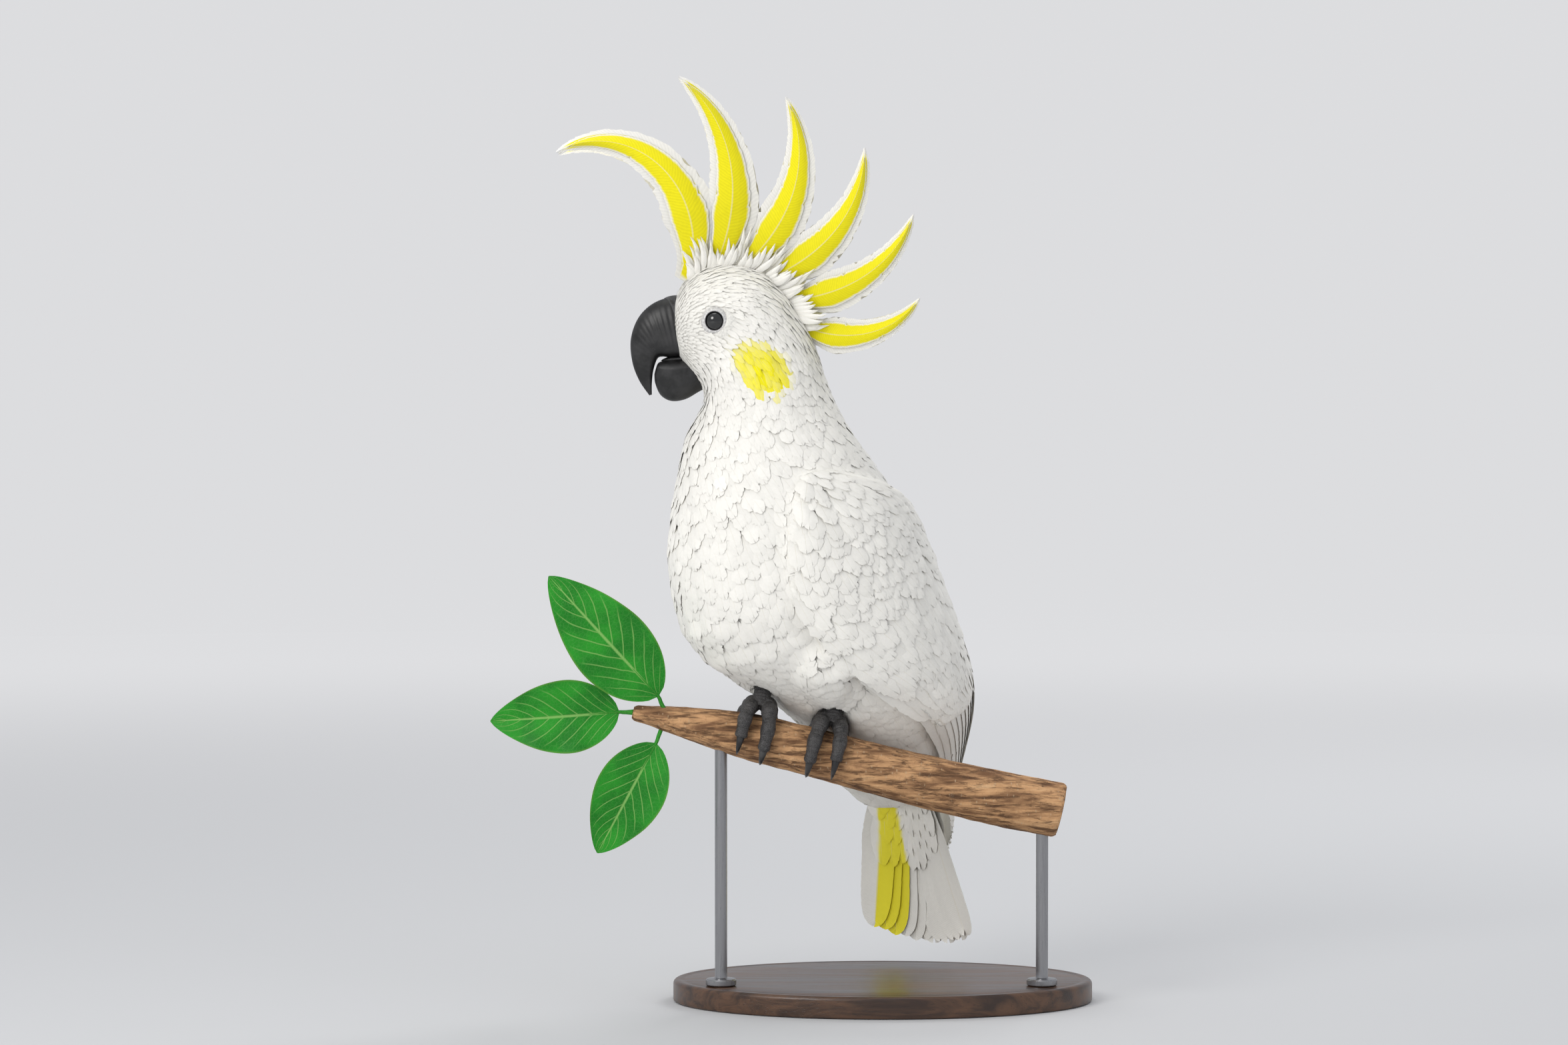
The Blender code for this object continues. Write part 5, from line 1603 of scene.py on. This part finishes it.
def branch():
    """A round of furrowed bark with knots, and the sawn ends."""
    shares, sides = 260, 72
    share = np.linspace(0.0, 1.0, shares)[:, None] * np.ones(sides)
    degrees = np.ones(shares)[:, None] * np.linspace(0, 360, sides, endpoint=False)
    away = np.zeros((shares, sides))
    for i, j in np.ndindex(shares, sides):
        a = math.radians(degrees[i, j])
        spot = Vector((share[i, j] * 3.2, math.cos(a) * 1.6, math.sin(a) * 1.6))
        ridge = noise.fractal(spot * 2.6, 0.9, 2.1, 5)
        plates = noise.noise(Vector((share[i, j] * 30, math.cos(a) * 6, math.sin(a) * 6)))
        away[i, j] = -0.00075 + 0.00062 * ridge + 0.00035 * plates
    for spec in KNOTS:
        away += knot(share, degrees, *spec) * 0.42
    away = np.clip(away, -0.0022, 0.0009)
    ends = np.minimum(share, 1 - share) * BRANCH_LENGTH
    away -= 0.0012 * np.exp(-(ends / 0.0011) ** 2)
    place, _ = round_branch(share, degrees, away)
    obj = add_loft("branch_bark", [loft(place, caps=False)])
    dress(obj, bark_paint(), ("perch_branch",))
    sawn_ends(place[0], place[-1])


def sawn_ends(first, last):
    """Sawn wood with growth rings, set just inside the bark at both ends."""
    parts, scale = [], np.linspace(1.0, 0.01, 14)
    for rim, way in ((first, -BRANCH_ALONG), (last, BRANCH_ALONG)):
        centre = rim.mean(axis=0)
        rings = [lerp(centre, rim, 0.999) - way * 0.004]
        rings += [lerp(centre, rim, r) + way * (0.0004 * (1 - r) + 0.0002 * math.sin(r * 9)) for r in scale]
        uv = np.stack(np.meshgrid(np.linspace(0, 1, len(rim)), (1.0, *scale)), -1).reshape(-1, 2)
        parts.append((np.concatenate(rings), tube_quads(len(rings), len(rim)), uv))
    dress(add_loft("branch_sawn_ends", parts), sawn_paint())


def toe_line(share, spec, mirror):
    """Middle line of a toe, the way its top faces, how far along it each point is, and its radius."""
    first, last, side_first, side_last, radius_first = spec
    t = np.linspace(0, 1, TOE_ROWS)
    radius = lerp(radius_first, TOE_TIP_RADIUS, t) + TOE_PAD * np.cos(6 * math.pi * t)
    where = share + mirror * lerp(side_first, side_last, ease(t * 1.4)) / BRANCH_LENGTH
    path, out = round_branch(where, lerp(first, last, t), radius + TOE_GAP)
    return path, out, t, radius


def scutes(points, normals, lines):
    """Height of broad plates over the top of toes and shank, and of small scales elsewhere."""
    path, out, t = (np.concatenate([line[k] for line in lines]) for k in range(3))
    tree = kd_tree(path)
    near = [tree.find_n(point, 2) for point in points.tolist()]
    first = np.array([found[0][1] for found in near])
    share = np.array([found[1][2] / max(found[0][2] + found[1][2], 1e-9) for found in near])
    second = np.array([found[1][1] for found in near])
    joined_t = np.where(np.abs(t[first] - t[second]) < 0.2, lerp(t[second], t[first], share), t[first])
    top = ease(((normals * out[first]).sum(-1) + 0.05) / 0.5)
    phase = (joined_t * SCUTES_PER_TOE) % 1.0
    plate = ease(np.minimum(phase, 1 - phase) / 0.20) * (1 - 0.25 * phase) - 0.8
    lumps = np.array([noise.voronoi(Vector(p) * 560.0)[0][:2] for p in points])
    pebble = np.clip((lumps[:, 1] - lumps[:, 0]) * 2.4, 0, 1) - 0.6
    return lerp(PEBBLE * pebble, SCUTE_GROOVE * plate, top)


def toe_rings(line):
    """Rings of a toe, with soft pads under its joints and a round tip."""
    path, out, t, radius = line
    turn = turns(22)
    pads = TOE_PAD * np.cos(6 * math.pi * t)[:, None] * np.clip(-np.cos(turn), 0, 1)[None]
    shape = radius[:, None] * 0.975 + pads
    tip = np.sqrt(np.clip(1 - ((t - 0.93) / 0.075).clip(0, 1) ** 2, 0.02, 1))[:, None]
    return sweep(path, shape * tip, len(turn), out)


def claw_rings(share, spec, mirror):
    """Rings of a claw, which goes on round the branch from its toe."""
    _, last, _, side_last, _ = spec
    way = 1 if last > 0 else -1
    t = np.linspace(0, 1, 26)
    where = share + mirror * side_last / BRANCH_LENGTH
    lift = TOE_TIP_RADIUS + 0.0020 * np.sin(math.pi * np.minimum(t * 1.1, 1)) - 0.0022 * t
    degrees = last - way * 5.0 + way * (CLAW_ARC + 6.6) * t
    path, out = round_branch(where + 0 * t, degrees, lift + 0.0006)
    radii = lerp(CLAW_RADIUS, 0.0004, t ** 0.8)
    return sweep(path, radii, 16, out)


def feet():
    """Two feet with scaled toes and shank, and their claws."""
    skin = scale_paint()
    horn = horn_paint("claw_horn", (0.012, 0.012, 0.013), (0.060, 0.058, 0.056), 40.0, 0.30)
    for side, share in FEET.items():
        mirror = SIDES[side]
        lines = [toe_line(share, spec, mirror) for spec in TOES]
        parts = [loft(toe_rings(line)) for line in lines]
        t = np.linspace(-0.10, 1.0, 40)
        path = round_branch(share, 0.0, SOLE_LIFT)[0] + t[:, None] * SHANK_REACH
        radius = np.interp(t, *SHANK_RADII)
        parts.append(loft(sweep(path, radius, 26, (-1.0, 0.0, 0.0))))
        lines.append((path, np.tile((-0.6, -0.8, 0.0), (len(path), 1)), t * 2.0))
        obj = add_loft("foot_skin_" + side, parts)
        mesh = one_body(obj, FOOT_VOXEL, 2)
        points, normals = vertex_arrays(mesh)
        move_points(mesh, points + normals * scutes(points, normals, lines)[:, None])
        dress(obj, skin, ("foot_" + side,))
        claws = add_loft("claws_" + side, [loft(claw_rings(share, spec, mirror)) for spec in TOES])
        dress(claws, horn, [f"claw_{side}_{k}" for k in (1, 2, 3, 4)])


def leaves():
    """Three veined blades with wavy edges, each on a stalk that runs into its midrib."""
    paint = leaf_paint()
    vane = Vane(44, 16, np.ones_like, 1.0, 0.0, 1.0)
    t, s = vane.share, vane.s
    outline = np.sin(np.pi * np.minimum(t, 0.999) ** 0.82) ** 0.72 * (1 - 0.10 * t)
    groove = -0.0005 * np.exp(-((s / 0.06) ** 2)) * (1 - t)
    saw = np.abs(((t * 9 - np.abs(s) * 3.0) % 1.0) - 0.5)
    quilt = 0.00045 * (saw - 0.25) * np.sin(np.pi * np.abs(s)) * np.sin(np.pi * t)
    for name, (share, reach, degrees, length, width, forward) in LEAVES.items():
        start = branch_row(share)[0]
        neck = start + np.array(reach)
        turn = math.radians(degrees)
        ahead = unit(np.array((math.cos(turn), forward / length, math.sin(turn))))
        across = unit(np.cross(ahead, (0.0, -1.0, 0.0)))
        up = np.cross(across, ahead)
        half = np.maximum(width / 2 * outline, 0.0003)
        wave = 0.0009 * np.sin(t * 21 + s * 1.7 + degrees) * np.abs(s) ** 1.5 * np.sin(np.pi * t)
        lift = 0.0055 * np.abs(s) * outline - LEAF_ARCH * length * (t - 0.35) ** 2 + wave + quilt + groove
        lift = lift + 0.0004
        top = neck + ahead * (length * t)[:, None] + across * (half * s)[:, None] + up * lift[:, None]
        ups = np.broadcast_to(up, top.shape)[None]
        obj = vane.build("leaf_blade_" + name, top[None], ups, LEAF_THICK, LEAF_GREEN)
        dress(recalculated(obj), paint, ("leaf_" + name,))
        end, middle = (neck + ahead * share * length - up * (LEAF_ARCH * length * bent ** 2 + 0.0002)
                       for share, bent in ((0.24, 0.11), (0.02, 0.33)))
        line = rows_of([start, lerp(start, middle, 0.6), middle, end], np.linspace(0, 3, 26))
        radii = np.interp(np.linspace(0, 1, 26), *STALK_RADII)
        dress(add_loft("leaf_stalk_" + name, [loft(sweep(line, radii, 12, up))]), paint)


# ---------------------------------------------------------------- stand

def lathe(line, sides, half=(0.0, 0.0), centre=(0.0, 0.0)):
    """Rings through (outward, height) points round an upright oval, or a circle without half axes."""
    turn = turns(sides)
    return np.array([np.stack((centre[0] + np.cos(turn) * (half[0] + out),
                               centre[1] + np.sin(turn) * (half[1] + out),
                               np.full(sides, height)), -1) for out, height in line])


def stand_base():
    """A turned oval base with a rounded rim."""
    low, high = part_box("stand_base")
    foot, top = low.z, high.z
    line = [(-0.05, foot), (-0.004, foot)]
    for a in np.linspace(0, math.pi / 2, 9):
        line.append((-BASE_FOOT * (1 - math.sin(a)), foot + BASE_FOOT * (1 - math.cos(a))))
    line.append((0.0, 0.005))
    for a in np.linspace(0, math.pi / 2, 9):
        line.append((-BASE_EDGE * (1 - math.cos(a)), top - BASE_EDGE + BASE_EDGE * math.sin(a)))
    # A fine groove runs round the top.
    line += [(-0.0045, top), (-0.006, top - 0.0004), (-0.0075, top - 0.0004), (-0.009, top)]
    line += [(-0.03, top), (-0.06, top)]
    obj = add_loft("stand_base_turned", [loft(lathe(line, 144, (high.x, high.y)))])
    dress(obj, stained_paint(), ("stand_base",))


def stand_rods():
    """Two steel rods, each with a collar where it stands on the base."""
    steel, top = steel_paint(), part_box("stand_base")[1].z
    for number in (1, 2):
        node = f"stand_rod_{number}"
        low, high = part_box(node)
        middle = (low.x + high.x) / 2, (low.y + high.y) / 2
        collar = (high.x - low.x) / 2
        line = [(0.0036, low.z), (ROD, low.z + 0.0004), (ROD, top + 0.0002)]
        line += [(collar - 0.0008, top + 0.0002), (collar, top + 0.0010), (collar, top + 0.0038)]
        line += [(collar - 0.0008, top + 0.0047), (0.0048, top + 0.0050), (0.0041, top + 0.0054)]
        line += [(ROD, top + 0.0058)] + [(ROD, z) for z in np.linspace(top + 0.01, high.z - 0.001, 12)]
        line += [(0.0036, high.z)]
        obj = add_loft(f"stand_rod_turned_{number}", [loft(lathe(line, 40, centre=middle))])
        obj.data.set_sharp_from_angle(angle=math.radians(35))
        dress(obj, steel, (node,))


# ---------------------------------------------------------------- studio

def studio():
    """A floor that bends up into a wall, five soft lamps and a pale sky."""
    paint = studio_paint()
    flat = [(r, -0.0004) for r in (0.001, 0.3, 0.8, 1.6, 2.6, FLOOR)]
    bend = [(FLOOR + WALL_BEND * math.sin(a), WALL_BEND * (1 - math.cos(a)) - 0.0004)
            for a in np.linspace(0, math.pi / 2, 14)]
    floor, wall = (add_loft(name, [loft(lathe(line, 96), caps=False)])
                   for name, line in (("studio_floor", flat), ("studio_wall", bend + [(5.8, 6.0)])))
    for obj in (floor, wall):
        obj.data.materials.append(paint)
    for ray in ("diffuse", "glossy", "shadow", "transmission"):
        setattr(wall, "visible_" + ray, False)
    for name, place, size, energy, colour in LAMPS:
        data = bpy.data.lights.new(name, "AREA")
        data.shape, data.size, data.energy, data.color = "DISK", size, energy, colour
        lamp = add_object(name, data)
        lamp.location = place
        lamp.visible_camera = False
        lamp.visible_glossy = name in ("key", "top")
        aim = Vector(LAMPS_AIM) - Vector(place)
        lamp.rotation_euler = aim.to_track_quat("-Z", "Y").to_euler()
    sky = bpy.data.worlds.new("studio")
    sky.use_nodes = True
    glow = sky.node_tree.nodes["Background"].inputs
    glow[0].default_value, glow[1].default_value = SKY, SKY_STRENGTH
    bpy.context.scene.world = sky


def camera():
    """Looks at the bird's left side from a little above level, as in the photo."""
    bpy.context.scene.view_settings.view_transform = "Standard"
    target = Vector(CAMERA_AIM)
    data = bpy.data.cameras.new("camera")
    data.lens = LENS
    away = VIEW_WIDTH * LENS / data.sensor_width
    made = add_object("camera", data)
    made.location = target + Vector((0, -math.cos(CAMERA_RISE), math.sin(CAMERA_RISE))) * away
    made.rotation_euler = (target - made.location).to_track_quat("-Z", "Y").to_euler()
    bpy.context.scene.camera = made


def build():
    studio()
    camera()
    coat(Guide(make_skin()))
    wings()
    tail()
    crest()
    bill()
    cere()
    eyes()
    branch()
    feet()
    leaves()
    stand_base()
    stand_rods()


build()
